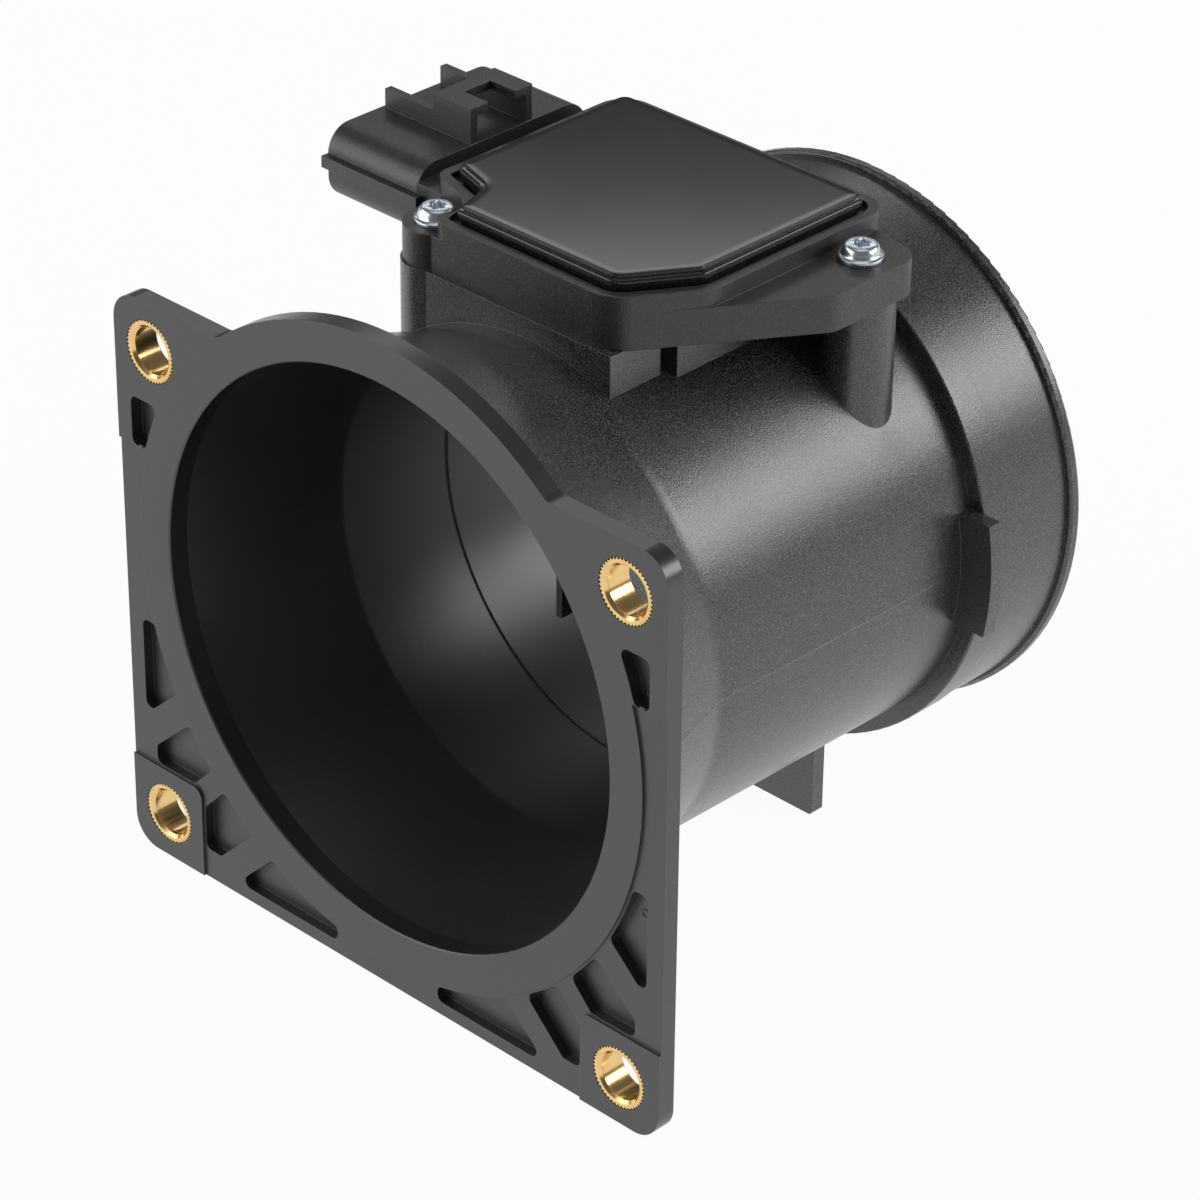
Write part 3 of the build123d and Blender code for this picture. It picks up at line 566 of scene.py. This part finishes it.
@dataclass(frozen=True)
class MouldedPlastic:
    """A moulded plastic: its colour, how it shines, its grain and its rounded edges, with glints and edge highlights
    painted in a lighter colour.

    Where it has a polish, the grain and its painted glints keep to the outside zone and each zone named there has its
    share of the roughness.
    """

    tint_range: ClassVar[tuple[float, float]] = (0.88, 1.12)
    variation_scale: ClassVar[float] = 70.0
    smooth_grain: ClassVar[float] = 0.12

    name: str
    colour: tuple[float, float, float]
    # Lighter colour of rubbed edges, and of painted glints and painted edge highlights.
    worn_and_highlit: tuple[float, float, float]
    roughness: float
    spread: float
    grain_scale: float
    grain_depth: float
    pits: float
    edge_radius: float
    # How strongly the edges take that colour: partly real rubbing, partly painted edge highlights.
    wear: float
    specular: float = 0.5
    coat: float = 0.0
    coat_roughness: float = 0.1
    # Share of the grain's peaks painted with the lighter colour as glints, standing in for light the grain catches.
    painted_glint: float = 0.3
    polish: tuple[tuple[Zone, float], ...] = ()

    @cache
    def material(self) -> bpy.types.Material:
        """Builds the material once, however often it is asked for.

        Returns:
            The material.
        """
        material = bpy.data.materials.new(self.name)
        material.use_nodes = True
        material.node_tree.nodes.clear()
        sheet = NodeSheet(material.node_tree)
        edges = sheet.effect(Effect.EDGES, radius=self.edge_radius, wear=self.wear)
        grain = sheet.effect(Effect.GRAIN, scale=self.grain_scale, pits=self.pits)
        variation = sheet.effect(Effect.VARIATION, scale=self.variation_scale)
        darker, lighter = (rgba(self.colour, share) for share in self.tint_range)
        tint = sheet.blend(variation.outputs["Value"], darker, lighter)
        height = grain.outputs["Height"]
        # Painted glints: the grain's peaks take the lighter colour, standing in for light that the grain catches.
        painted_glint_mask = sheet.math("MULTIPLY", grain.outputs["Mask"], self.painted_glint)
        if self.polish:
            zones = sheet.effect(Effect.ZONES)
            share = sheet.spread(zones.outputs[Zone.OUTSIDE.value], 0.0, 1.0, self.smooth_grain, 1.0)
            height = sheet.math("MULTIPLY", height, share)
            painted_glint_mask = sheet.math("MULTIPLY", painted_glint_mask, share)
        tint = sheet.blend(painted_glint_mask, tint, rgba(self.worn_and_highlit))
        # Rubbed edges take the same lighter colour, partly as real rubbing and partly as painted edge highlights.
        tint = sheet.blend(edges.outputs["Mask"], tint, rgba(self.worn_and_highlit))
        smoothest, roughest = self.roughness - self.spread, self.roughness + self.spread
        shine = sheet.spread(variation.outputs["Value"], 0.0, 1.0, smoothest, roughest)
        for zone, left in self.polish:
            shine = sheet.math("MULTIPLY", shine, sheet.spread(zones.outputs[zone.value], 0.0, 1.0, 1.0, left))
        bump = sheet.add(
            "ShaderNodeBump",
            {
                "Strength": 1.0,
                "Distance": self.grain_depth,
                "Height": height,
                "Normal": edges.outputs["Normal"],
            },
        )
        shader = sheet.add(
            "ShaderNodeBsdfPrincipled",
            {
                "Base Color": tint,
                "Roughness": shine,
                "Normal": bump.outputs[0],
                "Specular IOR Level": self.specular,
                "Coat Weight": self.coat,
                "Coat Roughness": self.coat_roughness,
            },
        )
        sheet.add("ShaderNodeOutputMaterial", {"Surface": shader.outputs[0]})
        return material


@dataclass(frozen=True)
class TurnedMetal:
    """A turned or plated metal with fine tool marks and slightly stained patches."""

    variation_scale: ClassVar[float] = 420.0
    stain_share: ClassVar[float] = 0.6
    ring_share: ClassVar[float] = 0.5

    name: str
    colour: tuple[float, float, float]
    stained: tuple[float, float, float]
    roughness: float
    spread: float
    pitch: float
    mark_depth: float
    edge_radius: float

    @cache
    def material(self) -> bpy.types.Material:
        """Builds the material once, however often it is asked for.

        Returns:
            The material.
        """
        material = bpy.data.materials.new(self.name)
        material.use_nodes = True
        material.node_tree.nodes.clear()
        sheet = NodeSheet(material.node_tree)
        edges = sheet.effect(Effect.EDGES, radius=self.edge_radius, wear=1.0)
        rings = sheet.effect(Effect.TURNING, pitch=self.pitch)
        variation = sheet.effect(Effect.VARIATION, scale=self.variation_scale)
        stain = sheet.math("MULTIPLY", variation.outputs["Value"], self.stain_share)
        tint = sheet.blend(stain, rgba(self.colour), rgba(self.stained))
        tint = sheet.blend(edges.outputs["Mask"], tint, rgba(self.colour))
        lines = sheet.math("MULTIPLY", rings.outputs["Mask"], self.ring_share)
        uneven = sheet.math("ADD", variation.outputs["Value"], lines)
        smoothest, roughest = self.roughness - self.spread, self.roughness + self.spread
        shine = sheet.spread(uneven, 0.0, 1.0 + self.ring_share, smoothest, roughest)
        bump = sheet.add(
            "ShaderNodeBump",
            {
                "Strength": 1.0,
                "Distance": self.mark_depth,
                "Height": rings.outputs["Height"],
                "Normal": edges.outputs["Normal"],
            },
        )
        shader = sheet.add(
            "ShaderNodeBsdfPrincipled",
            {"Base Color": tint, "Metallic": 1.0, "Roughness": shine, "Normal": bump.outputs[0]},
        )
        sheet.add("ShaderNodeOutputMaterial", {"Surface": shader.outputs[0]})
        return material


# The tube's and the case's lighter edge colour paints bright edges and speckled glints of grain: painted highlights,
# besides real rubbing on the edges.
TUBE_PLASTIC = MouldedPlastic(
    name="tube_black",
    colour=(0.0192, 0.0188, 0.0182),
    worn_and_highlit=(0.145, 0.144, 0.14),
    roughness=0.42,
    spread=0.03,
    grain_scale=5600.0,
    grain_depth=0.026 * MM,
    pits=0.4,
    edge_radius=0.1 * MM,
    wear=0.9,
    specular=0.95,
    painted_glint=0.95,
    polish=((Zone.BORE, 0.95), (Zone.RIM, 0.7), (Zone.OUTSIDE, 0.66)),
)
CASE_PLASTIC = MouldedPlastic(
    name="case_black",
    colour=(0.0168, 0.0164, 0.0157),
    worn_and_highlit=(0.12, 0.119, 0.116),
    roughness=0.42,
    spread=0.03,
    grain_scale=5000.0,
    grain_depth=0.028 * MM,
    pits=0.3,
    edge_radius=0.13 * MM,
    wear=0.9,
    specular=0.8,
    painted_glint=0.4,
)
LID_SATIN = MouldedPlastic(
    name="cover_satin",
    colour=(0.0092, 0.0088, 0.0084),
    worn_and_highlit=(0.05, 0.05, 0.05),
    roughness=0.14,
    spread=0.012,
    grain_scale=5200.0,
    grain_depth=0.0015 * MM,
    pits=0.2,
    edge_radius=0.2 * MM,
    wear=0.2,
)
LID_GLOSS = MouldedPlastic(
    name="cover_gloss",
    colour=(0.012, 0.0117, 0.0113),
    worn_and_highlit=(0.05, 0.05, 0.05),
    roughness=0.14,
    spread=0.03,
    grain_scale=2600.0,
    grain_depth=0.002 * MM,
    pits=0.1,
    edge_radius=0.1 * MM,
    wear=0.15,
)
SEAL_RUBBER = MouldedPlastic(
    name="seal_black",
    colour=(0.02, 0.02, 0.02),
    worn_and_highlit=(0.05, 0.05, 0.05),
    roughness=0.75,
    spread=0.08,
    grain_scale=2400.0,
    grain_depth=0.01 * MM,
    pits=0.2,
    edge_radius=0.1 * MM,
    wear=0.3,
)
BOARD_LAMINATE = MouldedPlastic(
    name="board_green",
    colour=(0.012, 0.10, 0.045),
    worn_and_highlit=(0.30, 0.28, 0.16),
    roughness=0.35,
    spread=0.06,
    grain_scale=1500.0,
    grain_depth=0.01 * MM,
    pits=0.1,
    edge_radius=0.08 * MM,
    wear=0.8,
)
CHIP_PLASTIC = MouldedPlastic(
    name="chip_black",
    colour=(0.03, 0.03, 0.03),
    worn_and_highlit=(0.10, 0.10, 0.10),
    roughness=0.55,
    spread=0.05,
    grain_scale=5000.0,
    grain_depth=0.008 * MM,
    pits=0.2,
    edge_radius=0.06 * MM,
    wear=0.4,
)
CERAMIC = MouldedPlastic(
    name="ceramic_tan",
    colour=(0.42, 0.30, 0.18),
    worn_and_highlit=(0.62, 0.55, 0.45),
    roughness=0.5,
    spread=0.06,
    grain_scale=4000.0,
    grain_depth=0.006 * MM,
    pits=0.3,
    edge_radius=0.08 * MM,
    wear=0.6,
)
GLAZE = MouldedPlastic(
    name="glaze_white",
    colour=(0.78, 0.76, 0.68),
    worn_and_highlit=(0.85, 0.84, 0.80),
    roughness=0.18,
    spread=0.05,
    grain_scale=2600.0,
    grain_depth=0.006 * MM,
    pits=0.1,
    edge_radius=0.08 * MM,
    wear=0.3,
    coat=0.6,
)
BEAD_RESIN = MouldedPlastic(
    name="bead_brown",
    colour=(0.05, 0.025, 0.012),
    worn_and_highlit=(0.12, 0.07, 0.04),
    roughness=0.2,
    spread=0.06,
    grain_scale=1800.0,
    grain_depth=0.01 * MM,
    pits=0.1,
    edge_radius=0.08 * MM,
    wear=0.3,
    coat=0.5,
)
BRASS = TurnedMetal(
    name="brass_gold",
    colour=(0.88, 0.63, 0.28),
    stained=(0.70, 0.43, 0.15),
    roughness=0.2,
    spread=0.07,
    pitch=0.11 * MM,
    mark_depth=0.004 * MM,
    edge_radius=0.08 * MM,
)
ZINC = TurnedMetal(
    name="zinc_blue",
    colour=(0.78, 0.83, 0.87),
    stained=(0.50, 0.60, 0.72),
    roughness=0.27,
    spread=0.07,
    pitch=0.09 * MM,
    mark_depth=0.004 * MM,
    edge_radius=0.12 * MM,
)
TIN = TurnedMetal(
    name="tin_grey",
    colour=(0.74, 0.73, 0.70),
    stained=(0.55, 0.54, 0.51),
    roughness=0.3,
    spread=0.08,
    pitch=0.2 * MM,
    mark_depth=0.003 * MM,
    edge_radius=0.06 * MM,
)
WIRE = TurnedMetal(
    name="wire_grey",
    colour=(0.62, 0.60, 0.57),
    stained=(0.42, 0.38, 0.34),
    roughness=0.34,
    spread=0.08,
    pitch=0.25 * MM,
    mark_depth=0.003 * MM,
    edge_radius=0.05 * MM,
)


# Studio


@dataclass
class Camera:
    """The photograph's camera: where it stands, its three directions and its lens."""

    place: tuple[float, float, float] = (0.36878564, -0.34363241, 0.31639564)
    right: tuple[float, float, float] = (0.71557252, 0.69847041, 0.00974958)
    up: tuple[float, float, float] = (-0.36375612, 0.36067472, 0.85883365)
    forward: tuple[float, float, float] = (-0.59635346, 0.61810423, -0.51216180)
    lens: float = 144.691
    film: float = 36.0
    near: float = 0.01
    far: float = 20.0

    def build(self) -> None:
        """Makes the camera and gives it to the scene."""
        data = bpy.data.cameras.new("camera")
        data.lens = self.lens
        data.sensor_width = self.film
        data.clip_start = self.near
        data.clip_end = self.far
        camera = bpy.data.objects.new("camera", data)
        back = tuple(-part for part in self.forward)
        turn = Matrix((self.right, self.up, back)).transposed().to_4x4()
        camera.matrix_world = Matrix.Translation(self.place) @ turn
        bpy.context.collection.objects.link(camera)
        bpy.context.scene.camera = camera


@dataclass(frozen=True)
class Panel:
    """One soft light panel: where it is, where it looks, its size and its strength."""

    name: str
    place: tuple[float, float, float]
    target: tuple[float, float, float]
    width: float
    height: float
    power: float

    def build(self) -> None:
        """Makes the area light and turns it to its target."""
        data = bpy.data.lights.new(self.name, "AREA")
        data.shape = "RECTANGLE"
        data.size = self.width
        data.size_y = self.height
        data.energy = self.power
        light = bpy.data.objects.new(self.name, data)
        light.location = self.place
        aim = Vector(self.target) - Vector(self.place)
        light.rotation_euler = aim.to_track_quat("-Z", "Y").to_euler()
        bpy.context.collection.objects.link(light)


@dataclass
class Studio:
    """White floor, pale surroundings and soft panels."""

    floor_level: float = -0.0411
    floor_reach: float = 3.0
    floor_colour: float = 0.88
    shadow_share: float = 0.05
    world_strength: float = 0.14
    panels: tuple[Panel, ...] = (
        Panel("panel_front_left", (-0.75, -0.85, 0.3), (0.0, 0.0, 0.0), 1.4, 1.0, 9.5),
        Panel("panel_right", (0.695, 0.644, 0.421), (0.0, 0.04, 0.03), 0.9, 0.4, 5.4),
        Panel("panel_behind", (-0.297, 0.356, 0.314), (-0.003, 0.047, 0.054), 0.6, 0.07, 0.27),
        Panel("panel_above", (0.1, 0.0, 1.3), (0.0, 0.04, 0.0), 1.0, 1.0, 2.0),
    )

    def build(self) -> None:
        """Makes the floor, the surroundings and the panels."""
        self.make_floor()
        self.make_world()
        for panel in self.panels:
            panel.build()

    def make_floor(self) -> None:
        """Makes the floor, which shows as white with a pale shadow."""
        reach = self.floor_reach
        corners = [(-reach, -reach, 0), (reach, -reach, 0), (reach, reach, 0), (-reach, reach, 0)]
        mesh = bpy.data.meshes.new("floor")
        mesh.from_pydata(corners, [], [(0, 1, 2, 3)])
        floor = bpy.data.objects.new("floor", mesh)
        floor.location = (0.0, 0.0, self.floor_level)
        bpy.context.collection.objects.link(floor)
        material = bpy.data.materials.new("studio_floor")
        material.use_nodes = True
        material.node_tree.nodes.clear()
        sheet = NodeSheet(material.node_tree)
        lit = sheet.add("ShaderNodeBsdfDiffuse", {"Color": rgba(WHITE, self.floor_colour)})
        white = sheet.add("ShaderNodeEmission", {"Color": rgba(WHITE), "Strength": 1.0})
        path = sheet.add("ShaderNodeLightPath")
        seen = sheet.math("MAXIMUM", path.outputs["Is Camera Ray"], path.outputs["Is Glossy Ray"])
        seen = sheet.math("MAXIMUM", seen, path.outputs["Is Transmission Ray"])
        share = sheet.math("MULTIPLY", seen, 1.0 - self.shadow_share)
        mixed = sheet.add("ShaderNodeMixShader", {0: share, 1: lit.outputs[0], 2: white.outputs[0]})
        sheet.add("ShaderNodeOutputMaterial", {"Surface": mixed.outputs[0]})
        mesh.materials.append(material)

    def make_world(self) -> None:
        """Makes the pale surroundings."""
        world = bpy.data.worlds.new("studio")
        world.use_nodes = True
        world.node_tree.nodes.clear()
        sheet = NodeSheet(world.node_tree)
        pale = sheet.add("ShaderNodeBackground", {"Color": rgba(WHITE), "Strength": self.world_strength})
        sheet.add("ShaderNodeOutputWorld", {"Surface": pale.outputs[0]})
        bpy.context.scene.world = world


# The object


@dataclass
class KeptNodes:
    """The nodes whose shape is right and which only get their finish."""

    finishes: tuple[tuple[str, object], ...] = (
        ("air_tube", TUBE_PLASTIC),
        ("flange_sleeve_", BRASS),
        ("sensor_case", CASE_PLASTIC),
        ("sensor_cover", LID_SATIN),
        ("channel_cover", CASE_PLASTIC),
        ("cover_seal", SEAL_RUBBER),
        ("probe_seal", SEAL_RUBBER),
        ("mounting_screw_", ZINC),
        ("terminal_", TIN),
        ("circuit_board", BOARD_LAMINATE),
        ("signal_chip", CHIP_PLASTIC),
        ("heater_transistor", CHIP_PLASTIC),
        ("board_capacitors", CERAMIC),
        ("board_resistors", CHIP_PLASTIC),
        ("hot_element", GLAZE),
        ("reference_element", GLAZE),
        ("hot_pin_", WIRE),
        ("reference_pin_", WIRE),
        ("air_temperature_bead", BEAD_RESIN),
        ("temperature_lead_", WIRE),
    )

    def dress(self) -> int:
        """Gives each node its finish.

        Returns:
            How many nodes were dressed.
        """
        dressed = 0
        for name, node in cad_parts.items():
            finish = next(finish for start, finish in self.finishes if name.startswith(start))
            node.data.materials.clear()
            node.data.materials.append(finish.material())
            dressed += 1
        return dressed


@dataclass
class Cover:
    """The cover of the electronics box: a glossy stepped rim round a satin plateau."""

    node: str = "sensor_cover"
    outline: Outline = Outline(
        (
            Corner(-15.6, 28.2, 1.3),
            Corner(11.8, 28.2, 3.0),
            Corner(17.9, 37.6, 3.0),
            Corner(17.9, 67.3, 2.0),
            Corner(-24.3, 67.3, 2.0),
            Corner(-24.3, 37.0, 1.7),
            Corner(-17.5, 34.9, 2.6),
        )
    )
    foot_chamfer: float = 0.15
    rim_radius: float = 0.4
    rim_width: float = 0.75
    rim_drop: float = 0.4
    hollow_radius: float = 0.1
    plateau_radius: float = 0.16
    flat_margin: float = 1.2
    arc_steps: int = 5

    def build(self) -> None:
        """Builds the cover from rings that follow its outline."""
        low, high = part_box(self.node)
        bottom, top = low.z / MM, high.z / MM
        skin = Skin("cover", (LID_GLOSS, LID_SATIN))
        rings = [skin.ring(self.level(grow, height)) for grow, height in self.profile(bottom, top)]
        skin.cap(rings[0])
        for lower, upper in zip(rings[:-1], rings[1:]):
            skin.band(lower, upper)
        flat = skin.ring(self.level(-self.rim_width - self.flat_margin, top))
        skin.band(rings[-1], flat, 1)
        skin.cap(flat, 1)
        skin.place("cover_plastic", Matrix.Identity(4), (self.node,))

    def level(self, grow: float, height: float) -> list[tuple[float, float, float]]:
        """Points of the outline at one height.

        Args:
            grow: How far the outline grows.
            height: Its height.

        Returns:
            The points in order.
        """
        return [(x, y, height) for x, y in self.outline.ring(grow)]

    def profile(self, bottom: float, top: float) -> list[tuple[float, float]]:
        """Side view of the edge, from the underside over the rim to the plateau.

        Args:
            bottom: Height of the underside.
            top: Height of the plateau.

        Returns:
            How far each ring grows, and its height.
        """
        rim = top - self.rim_drop
        radius, hollow, edge = self.rim_radius, self.hollow_radius, self.plateau_radius
        arcs = [math.pi / 2 * step / self.arc_steps for step in range(self.arc_steps + 1)]
        rows = [(-self.foot_chamfer, bottom), (0.0, bottom + self.foot_chamfer)]
        rows += [(-radius * (1 - math.cos(arc)), rim - radius * (1 - math.sin(arc))) for arc in arcs]
        wall = -self.rim_width
        rows += [(wall + hollow * (1 - math.sin(arc)), rim + hollow * (1 - math.cos(arc))) for arc in arcs]
        rows += [(wall - edge * (1 - math.cos(arc)), top - edge * (1 - math.sin(arc))) for arc in arcs]
        return rows


@dataclass
class FlangeSleeves:
    """The four turned brass sleeves with their straight knurl and chamfered bores."""

    nodes: tuple[str, ...] = (
        "flange_sleeve_top_left",
        "flange_sleeve_top_right",
        "flange_sleeve_bottom_left",
        "flange_sleeve_bottom_right",
    )
    outer_radius: float = 4.3
    bore_radius: float = 3.2
    teeth: int = 46
    tooth_steps: tuple[float, ...] = (0.0, 0.0, 0.09, 0.26, 0.26, 0.09)
    rear_reach: float = 0.6
    face_chamfer: float = 0.08
    bore_chamfer: float = 0.34
    bore_rounding: float = 0.06

    def build(self) -> None:
        """Builds one sleeve in each hole of the flange."""
        for node in self.nodes:
            low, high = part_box(node)
            middle = (low + high) / 2
            place = Matrix.Translation((middle.x, low.y, middle.z)) @ Matrix.Rotation(math.pi / 2, 4, "X")
            self.make(node, (high.y - low.y) / MM + self.rear_reach, place)

    def make(self, node: str, length: float, place: Matrix) -> None:
        """Builds one sleeve along its own Z axis, whose upper end is at zero.

        Args:
            node: The CAD node that it stands for.
            length: How long it is.
            place: Where it goes.
        """
        skin = Skin(node.replace("flange_sleeve", "brass_sleeve"), (BRASS,))
        bore, chamfer, rounding = self.bore_radius, self.bore_chamfer, self.bore_rounding
        back = [(bore, -length + chamfer), (bore + chamfer, -length)]
        outer = [
            (self.face_chamfer, -length),
            (0.0, -length + self.face_chamfer),
            (0.0, -self.face_chamfer),
            (self.face_chamfer, 0.0),
        ]
        count = self.teeth * len(self.tooth_steps)
        rings = [skin.ring(circle(radius, level, count)) for radius, level in back]
        rings += [skin.ring(self.knurl(inset, level)) for inset, level in outer]
        front = [
            (bore + chamfer + rounding, 0.0),
            (bore + chamfer, -rounding),
            (bore + rounding, -chamfer),
            (bore, -chamfer - rounding),
        ]
        rings += [skin.ring(circle(radius, level, count)) for radius, level in front]
        for index, ring in enumerate(rings):
            skin.band(ring, rings[(index + 1) % len(rings)])
        skin.place("brass", place, (node,))

    def knurl(self, inset: float, level: float) -> list[tuple[float, float, float]]:
        """Points of the toothed outline.

        Args:
            inset: How far it is drawn in.
            level: Its height.

        Returns:
            The points in order.
        """
        count = self.teeth * len(self.tooth_steps)
        points = []
        for index in range(count):
            angle = math.tau * index / count
            radius = self.outer_radius - inset - self.tooth_steps[index % len(self.tooth_steps)]
            points.append((radius * math.cos(angle), radius * math.sin(angle), level))
        return points


@dataclass
class MountingScrews:
    """The two screws: a domed head with a small flange, a six-lobe recess and a threaded shank."""

    nodes: tuple[str, ...] = ("mounting_screw_left", "mounting_screw_right")
    count: int = 72
    lobes: int = 6
    recess_radius: float = 1.08
    recess_wave: float = 0.19
    recess_depth: float = 1.1
    recess_edge: float = 0.09
    head: tuple[tuple[float, float], ...] = (
        (1.62, 0.0),
        (1.86, -0.05),
        (2.06, -0.19),
        (2.22, -0.42),
        (2.35, -0.85),
        (2.45, -1.22),
        (2.55, -1.34),
        (2.78, -1.41),
        (2.91, -1.52),
        (2.95, -1.68),
        (2.95, -1.98),
        (2.87, -2.15),
    )
    shank_radius: float = 1.93
    root_radius: float = 1.52
    point_radius: float = 1.3
    thread_start: float = 3.4
    thread_pitch: float = 1.55
    rings_per_turn: int = 8
    flank_share: float = 0.3
    point_length: float = 0.6

    def build(self) -> None:
        """Builds both screws from the top of the head down."""
        for node in self.nodes:
            low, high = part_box(node)
            middle = (low + high) / 2
            place = Matrix.Translation((middle.x, middle.y, high.z))
            self.make(node, (high.z - low.z) / MM, place)

    def make(self, node: str, length: float, place: Matrix) -> None:
        """Builds one screw along its own Z axis, with the top of its head at zero.

        Args:
            node: The CAD node that it stands for.
            length: How long it is.
            place: Where it goes.
        """
        skin = Skin(node.replace("mounting", "zinc"), (ZINC,))
        rings = [
            skin.ring(self.star(-self.recess_edge, -self.recess_depth)),
            skin.ring(self.star(0.0, -self.recess_edge)),
            skin.ring(self.star(self.recess_edge, 0.0)),
        ]
        rings += [skin.ring(circle(radius, level, self.count)) for radius, level in self.head]
        rings.append(skin.ring(circle(self.shank_radius, self.head[-1][1], self.count)))
        last = length - self.point_length
        steps = int((last - self.thread_start) / self.thread_pitch * self.rings_per_turn)
        for step in range(steps + 1):
            depth = self.thread_start + (last - self.thread_start) * step / steps
            rings.append(skin.ring(self.thread(depth, step / self.rings_per_turn)))
        rings.append(skin.ring(circle(self.point_radius, -length, self.count)))
        skin.cap(rings[0])
        for lower, upper in zip(rings[:-1], rings[1:]):
            skin.band(lower, upper)
        skin.cap(rings[-1])
        skin.place("zinc_steel", place, (node,))

    def star(self, grow: float, level: float) -> list[tuple[float, float, float]]:
        """Points of the six-lobe outline.

        Args:
            grow: How far it grows.
            level: Its height.

        Returns:
            The points in order.
        """
        points = []
        for index in range(self.count):
            angle = math.tau * index / self.count
            radius = self.recess_radius + grow + self.recess_wave * math.cos(self.lobes * angle)
            points.append((radius * math.cos(angle), radius * math.sin(angle), level))
        return points

    def thread(self, depth: float, turns: float) -> list[tuple[float, float, float]]:
        """Points of the shank at one depth, between the thread's crest and its root.

        Args:
            depth: How far below the top of the head.
            turns: How many turns the thread has made so far.

        Returns:
            The points in order.
        """
        points = []
        for index in range(self.count):
            share = (turns + index / self.count) % 1.0
            rise = max(0.0, 1.0 - abs(share - 0.5) / self.flank_share)
            radius = self.root_radius + (self.shank_radius - self.root_radius) * rise
            angle = math.tau * index / self.count
            points.append((radius * math.cos(angle), radius * math.sin(angle), -depth))
        return points


@dataclass
class MouldMarks:
    """What the mould leaves on the tube: ejector marks in the pockets and a parting line on each side."""

    node: str = "air_tube"
    mark_places: tuple[tuple[float, float], ...] = ((-43.9, 21.1), (43.9, 21.1), (-43.7, -9.9), (43.7, -9.9))
    mark_profile: tuple[tuple[float, float], ...] = (
        (0.34, 0.06),
        (0.42, -0.1),
        (0.52, -0.14),
        (0.62, -0.1),
        (0.7, 0.06),
    )
    mark_points: int = 28
    front_start: float = -20.0
    side_start: float = 60.0
    line_start: float = 12.0
    line_end: float = 68.6
    line_steps: int = 70
    line_half_width: float = 0.16
    line_root: float = -0.1
    line_height: float = 0.045
    line_jump: float = 0.3
    bore_level: float = BORE_LEVEL

    def build(self) -> None:
        """Builds the marks and the two lines on the moulding's own surface."""
        self.make_marks()
        self.make_line("left", -1.0)
        self.make_line("right", 1.0)

    def hit(self, start: tuple[float, float, float], way: tuple[float, float, float]) -> Vector | None:
        """Finds the moulding's surface along a line.

        Args:
            start: Where the line starts, in millimetres.
            way: Where it goes.

        Returns:
            The first point on the surface, in millimetres, or None.
        """
        origin = Vector(start) * MM
        found, place, _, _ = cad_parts[self.node].ray_cast(origin, Vector(way))
        return place / MM if found else None

    def make_marks(self) -> None:
        """Builds a low ring on the floor of each pocket that has an ejector mark."""
        skin = Skin("ejector_marks", (TUBE_PLASTIC,))
        for x, z in self.mark_places:
            floor = self.hit((x, self.front_start, z), (0.0, 1.0, 0.0))
            if floor is None:
                continue
            rings = []
            for radius, rise in self.mark_profile:
                points = circle(radius, 0.0, self.mark_points)
                rings.append(skin.ring([(x + across, floor.y + rise, z + up) for across, up, _ in points]))
            for index, ring in enumerate(rings):
                skin.band(ring, rings[(index + 1) % len(rings)])
        skin.place("tube_plastic", Matrix.Identity(4))

    def make_line(self, name: str, side: float) -> None:
        """Builds one parting line along the tube, in runs that end where the wall jumps.

        Args:
            name: Which side it is on.
            side: Direction of that side along X.
        """
        skin = Skin(f"parting_line_{name}", (TUBE_PLASTIC,))
        runs: list[list[list[int]]] = [[]]
        last = None
        for step in range(self.line_steps + 1):
            y = self.line_start + (self.line_end - self.line_start) * step / self.line_steps
            wall = self.hit((side * self.side_start, y, self.bore_level), (-side, 0.0, 0.0))
            if wall is None:
                continue
            if last is not None and abs(wall.x - last) > self.line_jump:
                runs.append([])
            last = wall.x
            half, root = self.line_half_width, self.line_root
            corners = ((root, -half), (self.line_height, 0.0), (root, half))
            runs[-1].append(skin.ring([(wall.x + side * out, y, self.bore_level + up) for out, up in corners]))
        for rows in runs:
            skin.cap(rows[0])
            for lower, upper in zip(rows[:-1], rows[1:]):
                skin.band(lower, upper)
            skin.cap(rows[-1])
        skin.place("tube_plastic", Matrix.Identity(4))


def main() -> None:
    """Builds the studio and the pieces in order."""
    logging.basicConfig(level=logging.INFO, format="%(message)s")
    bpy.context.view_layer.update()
    bpy.context.scene.view_settings.view_transform = "Standard"
    Camera().build()
    LOG.info("camera at the photograph's place")
    Studio().build()
    LOG.info("floor, surroundings and panels")
    LOG.info("%d nodes dressed", KeptNodes().dress())
    for part in (Cover(), FlangeSleeves(), MountingScrews(), MouldMarks()):
        part.build()


if __name__ == "__main__":
    main()
